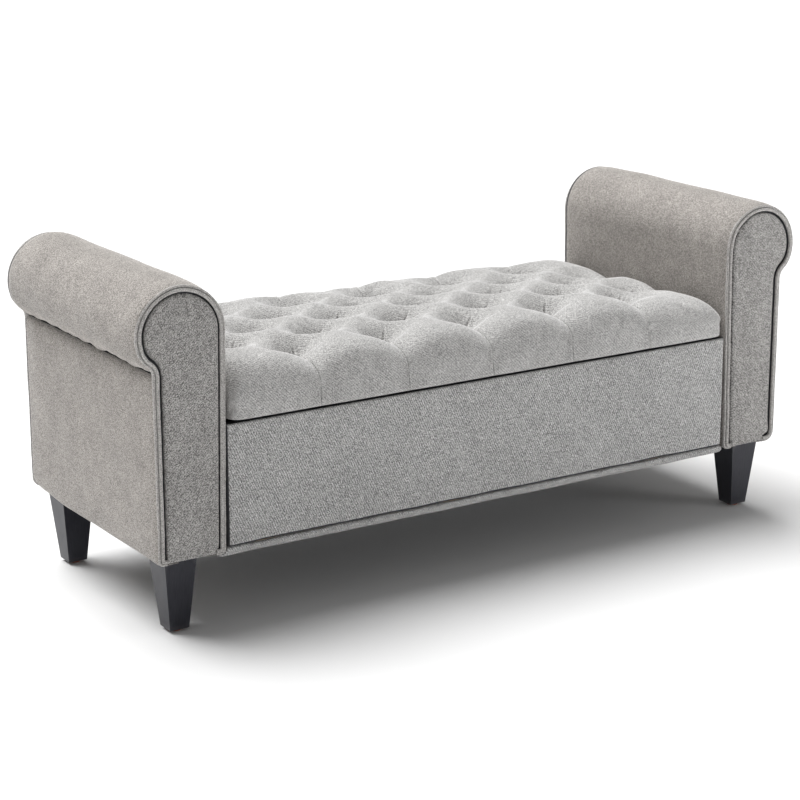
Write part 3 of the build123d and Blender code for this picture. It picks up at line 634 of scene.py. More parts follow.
        # soft folds running down from the top of the roll, where the facing is gathered to its curve
        top_fade = smooth((Z - (ROLL_Z - 0.02)) / 0.08) * smooth(dist / 0.006)
        folds = np.sin((X - ROLL_X) * 2 * math.pi / 0.030 + 0.6 * np.sin(Z * 60 + fseed)) * np.exp(-(((X - ROLL_X + 0.012) / 0.042) ** 2))
        depth = depth - 0.0006 * (0.5 + 0.5 * folds) * top_fade
        if (s < 0) == (e < 0):
            for fx0, fx1, fz0, fz1, fd in ((-0.004, -0.013, 0.060, 0.014, 0.0046), (-0.019, -0.027, 0.056, 0.018, 0.0038), (0.011, 0.006, 0.058, 0.028, 0.0026), (-0.034, -0.038, 0.046, 0.022, 0.0026)):
                px, pz = X - ROLL_X, Z - ROLL_Z
                dx_, dz_ = fx1 - fx0, fz1 - fz0
                t = np.clip(((px - fx0) * dx_ + (pz - fz0) * dz_) / (dx_**2 + dz_**2), 0, 1)
                dd = np.hypot(px - fx0 - t * dx_, pz - fz0 - t * dz_)
                run = smooth((1.15 - t) / 0.75)
                depth = depth - fd * np.exp(-((dd / 0.0052) ** 2)) * run + 0.40 * fd * np.exp(-(((dd - 0.0100) / 0.0050) ** 2)) * run * smooth(dist / 0.006)
        if s > 0 and e < 0 or s < 0 and e > 0:
            # one short tuck near the upper inner edge
            ax, az, bx, bz = -0.047, 0.034, -0.027, 0.010
            px, pz = X - ROLL_X, Z - ROLL_Z
            dx_, dz_ = bx - ax, bz - az
            t = np.clip(((px - ax) * dx_ + (pz - az) * dz_) / (dx_**2 + dz_**2), 0, 1)
            dd = np.hypot(px - ax - t * dx_, pz - az - t * dz_)
            depth = depth - 0.0050 * np.exp(-((dd / 0.0032) ** 2)) * (1 - 0.7 * t) + 0.0016 * np.exp(-(((dd - 0.0065) / 0.0045) ** 2)) * (1 - t)
        depth = depth + 0.00045 * waves(X, Z, 0.07, fseed + 1) * smooth(dist / 0.02)
        P = np.stack([s * X, e * (0.2291 + depth), Z], -1)
        back = np.stack([s * X, e * 0.2291 * np.ones_like(X), Z], -1)
        nu, nv = X.shape
        idx = np.arange(nu * nv).reshape(nu, nv)
        faces, uv = [], []
        uvv = np.stack([X, Z], -1)
        flip = (s > 0) == (e < 0)
        for i in range(nu - 1):
            for j in range(nv - 1):
                f = [(i, j), (i + 1, j), (i + 1, j + 1), (i, j + 1)]
                f1 = f if not flip else f[::-1]
                faces.append([idx[c] for c in f1])
                uv.extend([uvv[c] for c in f1])
        off = nu * nv
        rim = [(i, 0) for i in range(nu)] + [(nu - 1, j) for j in range(1, nv)] + [(i, nv - 1) for i in range(nu - 2, -1, -1)] + [(0, j) for j in range(nv - 2, 0, -1)]
        # the pad's back is one flat face joined to the front round its rim
        rim_back = list(range(off, off + len(rim)))
        verts = np.concatenate([P.reshape(-1, 3), np.array([back[c] for c in rim])])
        for n in range(len(rim)):
            m_ = (n + 1) % len(rim)
            f = [idx[rim[n]], rim_back[n], rim_back[m_], idx[rim[m_]]]
            c = [uvv[rim[n]], uvv[rim[n]] + (0, 0.006), uvv[rim[m_]] + (0, 0.006), uvv[rim[m_]]]
            if flip:
                f, c = f[::-1], c[::-1]
            faces.append(f)
            uv.extend(c)
        f, c = rim_back[::-1], [uvv[r] for r in rim][::-1]
        if flip:
            f, c = f[::-1], c[::-1]
        faces.append(f)
        uv.extend(c)
        pad = add_mesh(f"arm_{side}_{end_name}_facing_pad", verts, faces, uv)
        dress(pad, FACING_CLOTH, "frame", f"arm_{side}_{end_name}_facing", fill=0.7)

        # piping: a welt of turned cloth on the outside, a groove, and the covered cord inside it
        prof = [(0.0176, 0.2284), (0.0176, 0.2291), (0.0105, 0.2294)]
        for a_ in np.linspace(-55, 228, 17):
            prof.append((0.0067 + 0.0029 * math.cos(math.radians(a_)), 0.2348 + 0.0029 * math.sin(math.radians(a_))))
        prof.append((0.0038, 0.2312))
        for a_ in np.linspace(-25, 205, 12):
            prof.append((0.0015 + 0.0019 * math.cos(math.radians(a_)), 0.2334 + 0.0019 * math.sin(math.radians(a_))))
        prof += [(0.0002, 0.2288), (0.0040, 0.2270), (0.0100, 0.2272)]
        prof = np.array(prof)
        n_in = np.stack([-on[:, 0], -on[:, 1]], 1)
        A = prof[:, 0][:, None]
        B = prof[:, 1][:, None]
        wob = 0.00022 * waves(uo, uo * 0, 0.018, fseed + 4)[None, :] + 0.0003 * waves(uo, uo * 0, 0.09, fseed + 6)[None, :]
        PX = outline[:, 0][None, :] + n_in[:, 0][None, :] * (A + wob)
        PZ = outline[:, 1][None, :] + n_in[:, 1][None, :] * (A + wob)
        PY = B + 0.4 * wob + 0 * PX
        P = np.stack([s * PX, e * PY, PZ], -1)
        arc = np.concatenate([[0], np.cumsum(np.linalg.norm(np.diff(prof, axis=0), axis=1))])
        UV = np.stack([arc[:, None] + 0 * PX, uo[None, :] + 0 * PX], -1)
        pipe = add_grid(f"arm_{side}_{end_name}_piping_cord", P, UV, wrap_u=True, caps=True, flip=(s > 0) == (e < 0))
        dress(pipe, PIPE_CLOTH, "frame", f"arm_{side}_{end_name}_piping")
        # painted shade: the flange in the gap beside the cord gets the black cloth, standing in for the shadow in the
        # gap
        pipe.data.materials.append(LINING_AND_SHADE_CLOTH)
        across = P.shape[1] - 1
        for k in range(3 * across):
            pipe.data.polygons[k].material_index = 1

# ------------------------------------------------------------- storage box cloth
PANEL_Z0, PANEL_Z1, PANEL_X = 0.1335, 0.3300, 0.4930


def panel_cloth(name, y_face, sign, bulge, seed, mat, z_low, over, *nodes):
    """A padded panel: face, rounded top edge turned inwards, bottom tucked into the seam, ends turned back."""
    section = [(y_face - 0.0165, z_low + 0.001), (y_face - 0.006, z_low + 0.0003), (y_face - 0.0025, z_low + 0.0010), (y_face - 0.0006, z_low + 0.004)]
    section += [(y_face, z) for z in np.linspace(z_low + 0.010, PANEL_Z1 - 0.0045, 30)]
    section += [(y_face - 0.0034 + 0.0034 * math.cos(a), PANEL_Z1 - 0.0034 + 0.0034 * math.sin(a)) for a in np.linspace(0.3, math.pi / 2, 4)]
    section += [(y_face - 0.0050, PANEL_Z1 - 0.0006), (y_face - 0.0062, PANEL_Z1 - 0.0012), (y_face - 0.012, PANEL_Z1 - 0.0012)]
    # carried over the board's whole top edge and a little way down inside
    section += [(y_face - over + 0.0016, PANEL_Z1 - 0.0012), (y_face - over + 0.0003, PANEL_Z1 - 0.0018), (y_face - over, PANEL_Z1 - 0.0034), (y_face - over, PANEL_Z1 - 0.0086)]
    lining_from = next(i for i, p in enumerate(section) if p[1] > PANEL_Z1 - 0.0010 and p[0] < y_face - 0.0045)
    sec = np.array(section)
    L = np.concatenate([[0], np.cumsum(np.linalg.norm(np.diff(sec, axis=0), axis=1))])
    n = 150
    t = np.linspace(-1, 1, n)
    xs = PANEL_X * (0.85 * t + 0.15 * np.sin(t * math.pi / 2))
    xs = np.sort(np.concatenate([xs, [-PANEL_X + 0.0024, PANEL_X - 0.0024]]))
    X, I = np.meshgrid(xs, np.arange(len(sec)))
    Yd = sec[:, 0][:, None] + 0 * X
    Z = sec[:, 1][:, None] + 0 * X
    edge = np.minimum(PANEL_X - np.abs(X), 0.08)
    face = smooth((Z - z_low) / 0.02) * smooth((PANEL_Z1 - Z) / 0.02)
    Yd = Yd + face * (bulge * smooth(edge / 0.06) + 0.00045 * waves(X, Z, 0.16, seed) + 0.00025 * waves(X, Z, 0.05, seed + 1))
    Yd = Yd - 0.0045 * (1 - np.sqrt(1 - (1 - np.clip(edge / 0.006, 0, 1)) ** 2))
    Z = Z + 0.0007 * waves(X, X * 0, 0.12, seed + 2) * smooth((z_low + 0.03 - Z) / 0.02)
    P = np.stack([X, sign * Yd, Z], -1)
    UV = np.stack([X, L[:, None] + 0 * X], -1)
    # both ends turn back towards the box
    back = np.minimum(Yd[:, [0, -1]], y_face - 0.0165)
    first, last = P[:, :1].copy(), P[:, -1:].copy()
    first[:, 0, 1], last[:, 0, 1] = sign * back[:, 0], sign * back[:, 1]
    P = np.concatenate([first, P, last], 1)
    UV = np.concatenate([UV[:, :1] - (0.012, 0), UV, UV[:, -1:] + (0.012, 0)], 1)
    ob = add_grid(name, P, UV, flip=sign < 0)
    thicken(ob, 0.0014)
    divide(ob)
    dress(ob, mat, "frame", *nodes, fill=0.8)
    # black lining stapled over the rim behind the turned edge, real lining there that also serves as painted shade for
    # the dark gap under the lid; the bottom tuck and the turned-back ends get it as painted shade
    ob.data.materials.append(LINING_AND_SHADE_CLOTH)
    across = P.shape[1] - 1
    for k, p in enumerate(ob.data.polygons):
        i, j = divmod(k, across)
        if i >= lining_from or i < 3 or j in (0, 1, across - 2, across - 1):
            p.material_index = 1
    return ob


front_cloth = panel_cloth("front_panel_upholstery", 0.2338, -1.0, 0.0014, 301, PANEL_CLOTH, PANEL_Z0, 0.0232, "front_panel_cover")
rear_cloth = panel_cloth("rear_panel_upholstery", 0.2292, 1.0, 0.0003, 331, PANEL_CLOTH, 0.1208, 0.0186, "rear_panel_cover")

# the turned hem along the front's lower edge: a soft flattened roll
xs = np.linspace(-0.5105, 0.4985, 260)
prof = []
for a_ in np.linspace(0, 2 * math.pi, 27)[:-1]:
    cy, cz = math.cos(a_), math.sin(a_)
    prof.append((0.0068 * np.sign(cy) * abs(cy) ** 0.75, 0.0068 * np.sign(cz) * abs(cz) ** 0.8))
prof = np.array(prof)
X, I = np.meshgrid(xs, np.arange(len(prof)))
pinch = np.clip((X + 0.5105) / 0.006, 0, 1) ** 0.5 * np.clip((0.4985 - X) / 0.006, 0, 1) ** 0.5
pinch = 0.25 + 0.75 * pinch
under_arm = smooth((-0.4985 - X) / 0.004 + 0.5)
size_z = pinch * (1 + 0.06 * waves(X, X * 0, 0.07, 71)) * (1 - 0.52 * under_arm)
cz = 0.1271 + 0.0003 * waves(X, X * 0, 0.15, 72) - 0.0036 * under_arm
lump = 0.0005 * waves(X, prof[:, 1][:, None] * 4 + 0 * X, 0.035, 73)
cy = -0.2266 - 0.0008 * waves(X, X * 0, 0.11, 74)
P = np.stack([X, cy - prof[:, 0][:, None] * (pinch + lump / 0.007), cz + prof[:, 1][:, None] * size_z], -1)
arc = np.concatenate([[0], np.cumsum(np.linalg.norm(np.diff(prof, axis=0), axis=1))])
hem = add_grid("base_hem_roll", P, np.stack([X, arc[:, None] + 0 * X], -1), wrap_u=True, caps=True)
divide(hem)
dress(hem, PANEL_CLOTH, "frame", "base_trim", fill=0.6)


# dust cloths under the box and the arms, stapled at their edges and sagging a little
def stretched(name, x0, x1, y0, y1, z, sag, seed, holes=()):
    nx, ny = int((x1 - x0) / 0.012), int((y1 - y0) / 0.012)
    xs = np.linspace(x0, x1, nx + 1)
    ys = np.linspace(y0, y1, ny + 1)
    X, Y = np.meshgrid(xs, ys, indexing="ij")
    e = np.minimum(np.minimum(X - x0, x1 - X), np.minimum(Y - y0, y1 - Y))
    pucker = 0.0004 * np.cos(X * 2 * math.pi / 0.05) * np.cos(Y * 2 * math.pi / 0.05) * smooth(0.02 / (e + 0.01))
    Z = z - sag * smooth(e / 0.12) + 0.0004 * waves(X, Y, 0.12, seed) * smooth(e / 0.02) + pucker * smooth(e / 0.006)
    idx = np.arange(X.size).reshape(X.shape)
    faces, uv = [], []
    for i in range(nx):
        for j in range(ny):
            cx, cyy = (xs[i] + xs[i + 1]) / 2, (ys[j] + ys[j + 1]) / 2
            if any(h[0] < cx < h[1] and h[2] < cyy < h[3] for h in holes):
                continue
            f = [(i, j), (i + 1, j), (i + 1, j + 1), (i, j + 1)]
            faces.append([idx[c] for c in f])
            uv.extend([(xs[c[0]], ys[c[1]]) for c in f])
    used = sorted({v for f in faces for v in f})
    remap = {v: k for k, v in enumerate(used)}
    verts = np.stack([X, Y, Z], -1).reshape(-1, 3)[used]
    return add_mesh(name, verts, [[remap[v] for v in f] for f in faces], uv)


dust_box = stretched("dust_cloth_box", -0.4945, 0.4945, -0.2180, 0.2260, 0.1222, 0.0012, 501)
dress(dust_box, DUST_CLOTH, "frame", "dust_covers", slot="dust_cloth")
for side, s in SIDES:
    w = 0.0295
    holes = [(s * 0.566 - w, s * 0.566 + w, sy * 0.1855 - w, sy * 0.1855 + w) for sy in (-1, 1)]
    x0, x1 = sorted((s * 0.503, s * 0.603))
    d = stretched(f"dust_cloth_arm_{side}", x0, x1, -0.227, 0.227, 0.1272, 0.0, 520 + int(s), holes)
    dress(d, DUST_CLOTH, "frame", slot="dust_cloth")

# lining cloth glued to the inside of the box
LX, LY, LZ0, LZ1 = 0.4826, 0.2096, 0.1466, 0.3218


def lining_side(a0, a1, seed):
    t = np.linspace(0, 1, int(np.linalg.norm(np.array(a1) - a0) / 0.014) + 1)
    base = np.array(a0)[None, :] + t[:, None] * (np.array(a1) - a0)[None, :]
    return base


ring = np.concatenate([
    lining_side((-LX, -LY), (LX, -LY), 1)[:-1],
    lining_side((LX, -LY), (LX, LY), 2)[:-1],
    lining_side((LX, LY), (-LX, LY), 3)[:-1],
    lining_side((-LX, LY), (-LX, -LY), 4)[:-1],
])
nr = len(ring)
inward = -np.sign(ring) * (np.abs(np.abs(ring) - (LX, LY)) < 1e-6)
inward = inward / np.maximum(np.linalg.norm(inward, axis=1), 1)[:, None]
sr = np.arange(nr) * 0.014
levels = np.linspace(LZ1, LZ0 + 0.006, 14)
verts, uvs = [], []
# turned over the tops of the two box sides
over_side = (np.abs(np.abs(ring[:, 0]) - LX) < 1e-6)[:, None] * np.stack([np.sign(ring[:, 0]), np.zeros(nr)], 1)
verts.append(np.concatenate([ring + over_side * 0.0094, np.full((nr, 1), LZ1 + 0.0008)], 1))
verts.append(np.concatenate([ring + over_side * 0.0016, np.full((nr, 1), LZ1 + 0.0008)], 1))
uvs += [np.stack([sr, np.full(nr, LZ1 + 0.012)], 1), np.stack([sr, np.full(nr, LZ1 + 0.003)], 1)]
for z in levels:
    amp = smooth((LZ1 - z) / 0.03) * smooth((z - LZ0) / 0.02)
    off = 0.0002 + amp * (0.0004 + 0.0006 * waves(sr, sr * 0 + z, 0.10, 611))
    verts.append(np.concatenate([ring + inward * off[:, None], np.full((nr, 1), z)], 1))
    uvs.append(np.stack([sr, np.full(nr, z)], 1))
for k, (ins, z) in enumerate([(0.0016, LZ0 + 0.0022), (0.005, LZ0 + 0.0006)]):
    verts.append(np.concatenate([ring + inward * ins, np.full((nr, 1), z)], 1))
    uvs.append(np.stack([sr, np.full(nr, z - 0.003 * k)], 1))
V = np.concatenate(verts)
faces = []
for k in range(len(verts) - 1):
    for n in range(nr):
        m_ = (n + 1) % nr
        faces.append([k * nr + n, k * nr + m_, (k + 1) * nr + m_, (k + 1) * nr + n])
# floor of the lining as a grid whose rim meets the walls
fx = np.linspace(-LX + 0.005, LX - 0.005, 70)
fy = np.linspace(-LY + 0.005, LY - 0.005, 31)
FX, FY = np.meshgrid(fx, fy, indexing="ij")
ef = np.minimum(LX - 0.005 - np.abs(FX), LY - 0.005 - np.abs(FY))
FZ = LZ0 + 0.0006 + 0.0009 * (0.5 + 0.5 * waves(FX, FY, 0.16, 640)) * smooth(ef / 0.04)
base_n = len(V)
V = np.concatenate([V, np.stack([FX, FY, FZ], -1).reshape(-1, 3)])
fi = np.arange(FX.size).reshape(FX.shape) + base_n
for i in range(len(fx) - 1):
    for j in range(len(fy) - 1):
        faces.append([fi[i, j], fi[i + 1, j], fi[i + 1, j + 1], fi[i, j + 1]])
loop_uv = []
for f in faces:
    for v in f:
        loop_uv.append((V[v][0] + V[v][1], V[v][2] + V[v][1]))
lining = add_mesh("box_lining_cloth", V, faces, loop_uv)
dress(lining, LINING_AND_SHADE_CLOTH, "frame", "box_lining", slot="lining_cloth")

# --------------------------------------------------------------------- the seat
DX, DY, Y0 = 0.1625, 0.0700, -0.006
SEAT_X, SEAT_Y0, SEAT_Y1 = 0.4850, -0.2358, 0.2270
SEAT_BOTTOM, WALL_TOP = 0.3341, 0.3650
ROUND_F, ROUND_B, ROUND_S = 0.052, 0.044, 0.036
STEP = 0.0072

rng = np.random.default_rng(7)
TUFTS = []
for row in range(5):
    y = Y0 + (row - 2) * DY
    cols = [i * DX for i in range(-2, 3)] if row % 2 == 0 else [(i + 0.5) * DX for i in range(-3, 3)]
    for x in cols:
        jx, jy = rng.uniform(-0.002, 0.002, 2)
        TUFTS.append((x + (jx if row in (1, 2, 3) and abs(x) < 0.4 else 0.0), y + (jy if row in (0, 2, 4) else 0.0), row))
TUFTS = np.array(TUFTS)
FRONT_PLEATS = [t[0] for t in TUFTS if t[2] == 0]
SIDE_PLEATS = sorted({round(float(t[1]), 5) for t in TUFTS if abs(t[0]) > 0.4})


def edge_lines(lo, hi, r_lo, r_hi, marks):
    """Grid lines across the seat: close together round its two rolled edges, with four beside each pleat."""
    def curve(r):
        phi = np.linspace(0, math.pi / 2, int(r * math.pi / 2 / STEP) + 2)
        return r * (1 - np.cos(phi)), r * (math.pi / 2 - phi)
    d0, a0 = curve(r_lo)
    d1, a1 = curve(r_hi)
    stops = [lo + r_lo] + [m + k for m in marks for k in (-0.0034, -0.0010, 0.0010, 0.0034)] + [hi - r_hi]
    inner = []
    for a, b in zip(stops[:-1], stops[1:]):
        n = max(1, int(round((b - a) / STEP)))
        inner += list(np.linspace(a, b, n + 1)[:-1])
    inner = np.array(inner[1:])
    return np.concatenate([lo + d0, inner, (hi - d1)[::-1]]), np.concatenate([lo + r_lo - a0, inner, (hi - r_hi + a1)[::-1]])


gx, flat_x = edge_lines(-SEAT_X, SEAT_X, ROUND_S, ROUND_S, FRONT_PLEATS)
gy, flat_y = edge_lines(SEAT_Y0, SEAT_Y1, ROUND_F, ROUND_B, SIDE_PLEATS)
GX, GY = np.meshgrid(gx, gy, indexing="ij")
FLX, FLY = np.meshgrid(flat_x, flat_y, indexing="ij")
CY = (SEAT_Y0 + SEAT_Y1) / 2
HY = (SEAT_Y1 - SEAT_Y0) / 2


def quarter(d, r):
    return np.sqrt(1 - (1 - np.clip(d / r, 0, 1)) ** 2)


def plan_round(x, y):
    """Rounds the seat's four upright corners, the front left one most."""
    rv = 0.013 + 0.009 * ((x < 0) & (y < CY))
    ix, iy = SEAT_X - rv, HY - rv
    ex = np.maximum(np.abs(x) - ix, 0)
    ey = np.maximum(np.abs(y - CY) - iy, 0)
    n = np.hypot(ex, ey)
    k = np.where((ex > 0) & (ey > 0), np.maximum(ex, ey) / np.maximum(n, 1e-9), 1.0)
    return np.sign(x) * (np.minimum(np.abs(x), ix) + ex * k), CY + np.sign(y - CY) * (np.minimum(np.abs(y - CY), iy) + ey * k)


def valley(d, w):
    """The cross-section of a pleat: 1 at its bottom, falling to 0 at w with round shoulders."""
    u = np.clip(np.abs(d) / w, 0, 1)
    return 0.55 * (1 - u) ** 2 + 0.45 * (1 - np.sqrt(1 - (1 - u) ** 2))


def edge_pleats(x, y):
    """The pleats from the outer tufts to the seat's edges, as depths of the top before its edge falls away."""
    v = np.zeros(np.shape(x))
    for px in FRONT_PLEATS:
        ahead = smooth((-0.118 - y) / 0.034)
        v = np.maximum(v, 0.0250 * valley(x - px, 0.079) * ahead)
        behind = smooth((y - 0.112) / 0.034)
        v = np.maximum(v, 0.0035 * valley(x - px, 0.079) * behind)
    for py in SIDE_PLEATS:
        aside = smooth((np.abs(x) - 0.388) / 0.030)
        v = np.maximum(v, 0.0165 * valley(y - py, 0.066) * aside)
    return v


def bowls(x, y):
    """The broad bowls round the tufts, as depths."""
    total = np.zeros(np.shape(x))
    for n, t in enumerate(TUFTS):
        dx, dy = x - t[0], y - t[1]
        deep = 0.0375 if t[2] in (1, 2, 3) else 0.0340
        total = total + deep * np.exp(-((dx / 0.0355) ** 2) - (dy / 0.0295) ** 2)
        total = total + 0.0050 * np.exp(-(np.hypot(dx, dy) / 0.012) ** 2)
    return total


rx, ry = plan_round(GX, GY)
round_y = np.where(GY < CY, quarter(GY - SEAT_Y0, ROUND_F), quarter(SEAT_Y1 - GY, ROUND_B))
round_x = quarter(SEAT_X - np.abs(GX), ROUND_S)
fall = round_x * round_y
level = 0.4206 - (0.0130 + 0.0060 * smooth((GX + 0.24) / 0.26)) * smooth((GY + 0.05) / 0.26) - 0.0030 * smooth((np.abs(GX) - 0.33) / 0.14)
level = level + 0.0012 * waves(GX, GY, 0.21, 88)
pl = edge_pleats(GX, GY)
bo = bowls(GX, GY)
dip = (pl ** 5 + bo ** 5) ** 0.2
# the padding thins out towards the right-hand end, so the puffs there are lower and flatter
to_rear = smooth((GY - 0.02) / 0.16)
thin = smooth((GX - 0.28) / 0.15) * (1 - to_rear)
level = level - 0.0200 * thin - 0.0080 * smooth((GX - 0.42) / 0.05) * to_rear
dip = dip * (1 - 0.40 * thin)
top = np.stack([rx, ry, WALL_TOP + (level - dip - WALL_TOP) * fall], -1)


def drawn_in(px, py):
    """How far the rim is drawn inwards at a pleat."""
    v = np.zeros(np.shape(px))
    for p in FRONT_PLEATS:
        v = np.maximum(v, valley(px - p, 0.070) * (HY - np.abs(py - CY) < 0.06))
    for p in SIDE_PLEATS:
        v = np.maximum(v, valley(py - p, 0.055) * (SEAT_X - np.abs(px) < 0.05))
    return 0.0062 * v


inward = drawn_in(GX, GY)
top[..., 0] -= np.sign(GX) * inward * (1 - round_x)
top[..., 1] -= np.sign(GY - CY) * inward * (1 - round_y)

nx, ny = GX.shape
tid = np.arange(nx * ny).reshape(nx, ny)
rim = [(i, 0) for i in range(nx)] + [(nx - 1, j) for j in range(1, ny)] + [(i, ny - 1) for i in range(nx - 2, -1, -1)] + [(0, j) for j in range(ny - 2, 0, -1)]
side_of = ["f"] * (nx - 1) + ["r"] * (ny - 1) + ["b"] * (nx - 1) + ["l"] * (ny - 1)
rim_plan = np.array([(GX[c], GY[c]) for c in rim])
nrim = len(rim)
nrm_plan = np.zeros((nrim, 2))
nrm_plan[:, 0] = np.sign(rim_plan[:, 0]) * (SEAT_X - np.abs(rim_plan[:, 0]) < 1e-6)
nrm_plan[:, 1] = np.sign(rim_plan[:, 1] - CY) * (HY - np.abs(rim_plan[:, 1] - CY) < 1e-6)
nrm_plan /= np.linalg.norm(nrm_plan, axis=1)[:, None]
verts = [top.reshape(-1, 3)]
drop = []
levels = np.linspace(WALL_TOP, SEAT_BOTTOM + 0.0035, 6)[1:]
wall = np.stack(plan_round(rim_plan[:, 0], rim_plan[:, 1]), 1)
rim_in = drawn_in(rim_plan[:, 0], rim_plan[:, 1])
for z in levels:
    f = (z - SEAT_BOTTOM) / (WALL_TOP - SEAT_BOTTOM)
    verts.append(np.concatenate([wall - nrm_plan * (rim_in * (0.25 + 0.75 * f))[:, None], np.full((nrim, 1), z)], 1))
    drop.append(WALL_TOP - z)
hem_rings = [(0.0008, SEAT_BOTTOM + 0.0010), (0.0034, SEAT_BOTTOM - 0.0002), (0.012, SEAT_BOTTOM - 0.0004), (0.026, SEAT_BOTTOM - 0.0004), (0.042, SEAT_BOTTOM - 0.0003)]
for ins, z in hem_rings:
    w = wall - nrm_plan * (rim_in * 0.22)[:, None]
    w[:, 0] *= 1 - ins / SEAT_X
    w[:, 1] = CY + (w[:, 1] - CY) * (1 - ins / HY)
    verts.append(np.concatenate([w, np.full((nrim, 1), z)], 1))
    drop.append(WALL_TOP - SEAT_BOTTOM + ins)
V = np.concatenate(verts)
faces, loop_uv = [], []
for i in range(nx - 1):
    for j in range(ny - 1):
        c = [(i, j), (i + 1, j), (i + 1, j + 1), (i, j + 1)]
        faces.append([tid[k] for k in c])
        loop_uv.extend([(FLX[k], FLY[k]) for k in c])
ring_ids = [np.array([tid[c] for c in rim])] + [nx * ny + k * nrim + np.arange(nrim) for k in range(len(drop))]
ring_drop = [0.0] + drop
out_dir = {"f": (0, -1), "r": (1, 0), "b": (0, 1), "l": (-1, 0)}
for k in range(len(ring_ids) - 1):
    for n in range(nrim):
        m_ = (n + 1) % nrim
        faces.append([ring_ids[k][n], ring_ids[k + 1][n], ring_ids[k + 1][m_], ring_ids[k][m_]])
        ox, oy = out_dir[side_of[n]]
        for kk, nn in ((k, n), (k + 1, n), (k + 1, m_), (k, m_)):
            loop_uv.append((FLX[rim[nn]] + ox * ring_drop[kk], FLY[rim[nn]] + oy * ring_drop[kk]))
seat = add_mesh("seat_tufted_cover", V, faces, loop_uv)

# how firmly each point of the cloth is held while the stuffing swells it
hold = np.zeros(len(V))
r_t = np.min(np.hypot(GX[..., None] - TUFTS[:, 0], GY[..., None] - TUFTS[:, 1]), axis=-1).ravel()
on_pleat = np.zeros(GX.shape)
for px in FRONT_PLEATS:
    on_pleat = np.maximum(on_pleat, (np.abs(GX - px) < 0.0015) * ((GY < -0.14) | (GY > 0.13)) * 0.85)
for py in SIDE_PLEATS:
    on_pleat = np.maximum(on_pleat, (np.abs(GY - py) < 0.0015) * (np.abs(GX) > 0.40) * 0.85)
hold[: nx * ny] = np.maximum(np.where(r_t < 0.0090, 1.0, 0.0), on_pleat.ravel())
for k in range(1, len(ring_ids)):
    hold[ring_ids[k]] = 1.0 if k >= len(levels) else np.array([on_pleat[c] for c in rim])

group = seat.vertex_groups.new(name="held")
for v, h in enumerate(hold):
    if h > 0:
        group.add([v], float(h), "REPLACE")
cloth = seat.modifiers.new("Cloth", "CLOTH")
cs = cloth.settings
cs.quality = 6
cs.mass = 0.25
cs.tension_stiffness = 18
cs.compression_stiffness = 14
cs.shear_stiffness = 6
cs.bending_stiffness = 0.35
cs.tension_damping = 12
cs.compression_damping = 12
cs.shear_damping = 8
cs.bending_damping = 1.0
cs.air_damping = 4.0
cs.vertex_group_mass = "held"
cs.pin_stiffness = 1.0
cs.shrink_min = -0.012
cs.use_pressure = True
cs.uniform_pressure_force = 1.5
cs.effector_weights.gravity = 0.0
cloth.collision_settings.use_collision = False
cloth.collision_settings.use_self_collision = False
cloth.point_cache.frame_start = 1
cloth.point_cache.frame_end = 20
scene = bpy.context.scene
for f in range(1, 21):
    scene.frame_set(f)
before = np.array([v.co for v in seat.data.vertices])
apply_modifiers(seat)
scene.frame_set(1)
after = np.array([v.co for v in seat.data.vertices])
move = after - before
length = np.linalg.norm(move, axis=1)
print("seat cloth moved up to", round(float(length.max()) * 1000, 2), "mm, mean", round(float(length.mean()) * 1000, 2))
cap = 0.0045
move *= np.minimum(1.0, cap / np.maximum(length, 1e-9))[:, None]
final = before + move
final[:, 0] = np.clip(final[:, 0], -0.4895, 0.4895)
final[:, 1] = np.clip(final[:, 1], -0.2415, 0.2295)
final[:, 2] = np.clip(final[:, 2], SEAT_BOTTOM - 0.0004, 0.4280)
seat.data.vertices.foreach_set("co", final.astype(np.float32).ravel())
seat.data.update()
divide(seat, 2)
apply_modifiers(seat)

# after the swelling: folded pleats, the short creases at the tufts, and the cloth's small unevenness
n_v = len(seat.data.vertices)
co = np.empty(n_v * 3, np.float32)
no = np.empty(n_v * 3, np.float32)
seat.data.vertices.foreach_get("co", co)
seat.data.vertex_normals.foreach_get("vector", no)
co = co.reshape(-1, 3).astype(float)
no = no.reshape(-1, 3).astype(float)
x, y, z = co.T
lift = np.zeros(n_v)
upper = z > SEAT_BOTTOM + 0.0015


def fold(d, along, deep):
    """A pleat's lapped fold: its first side lies on top with a rounded edge, its second side dips under it."""
    first = 0.0014 * np.exp(-np.clip(-d, 0, 1) / 0.006) * (d < 0)
    second = -deep * np.exp(-np.clip(d, 0, 1) / 0.0065) * (d >= 0)
    lip = 0.0011 * np.exp(-((d + 0.0018) / 0.0011) ** 2)
    return (first + lip + second - deep * 0.95 * np.exp(-((d - 0.0007) / 0.0010) ** 2)) * along


for k, px in enumerate(FRONT_PLEATS):
    sway = 0.0010 * np.sin(z * 70 + k * 1.7) * smooth((0.41 - z) / 0.05)
    front = smooth((-0.150 - y) / 0.012)
    lift += fold(x - px - sway, front * upper, 0.0019) * (0.45 + 0.55 * smooth((z - SEAT_BOTTOM - 0.002) / 0.03))
    back = smooth((y - 0.140) / 0.012)
    lift += fold(x - px - sway, back * upper, 0.0014) * (0.45 + 0.55 * smooth((z - SEAT_BOTTOM - 0.002) / 0.03))
for k, py in enumerate(SIDE_PLEATS):
    aside = smooth((np.abs(x) - 0.412) / 0.012)
    lift += fold(y - py, aside * upper, 0.0014)

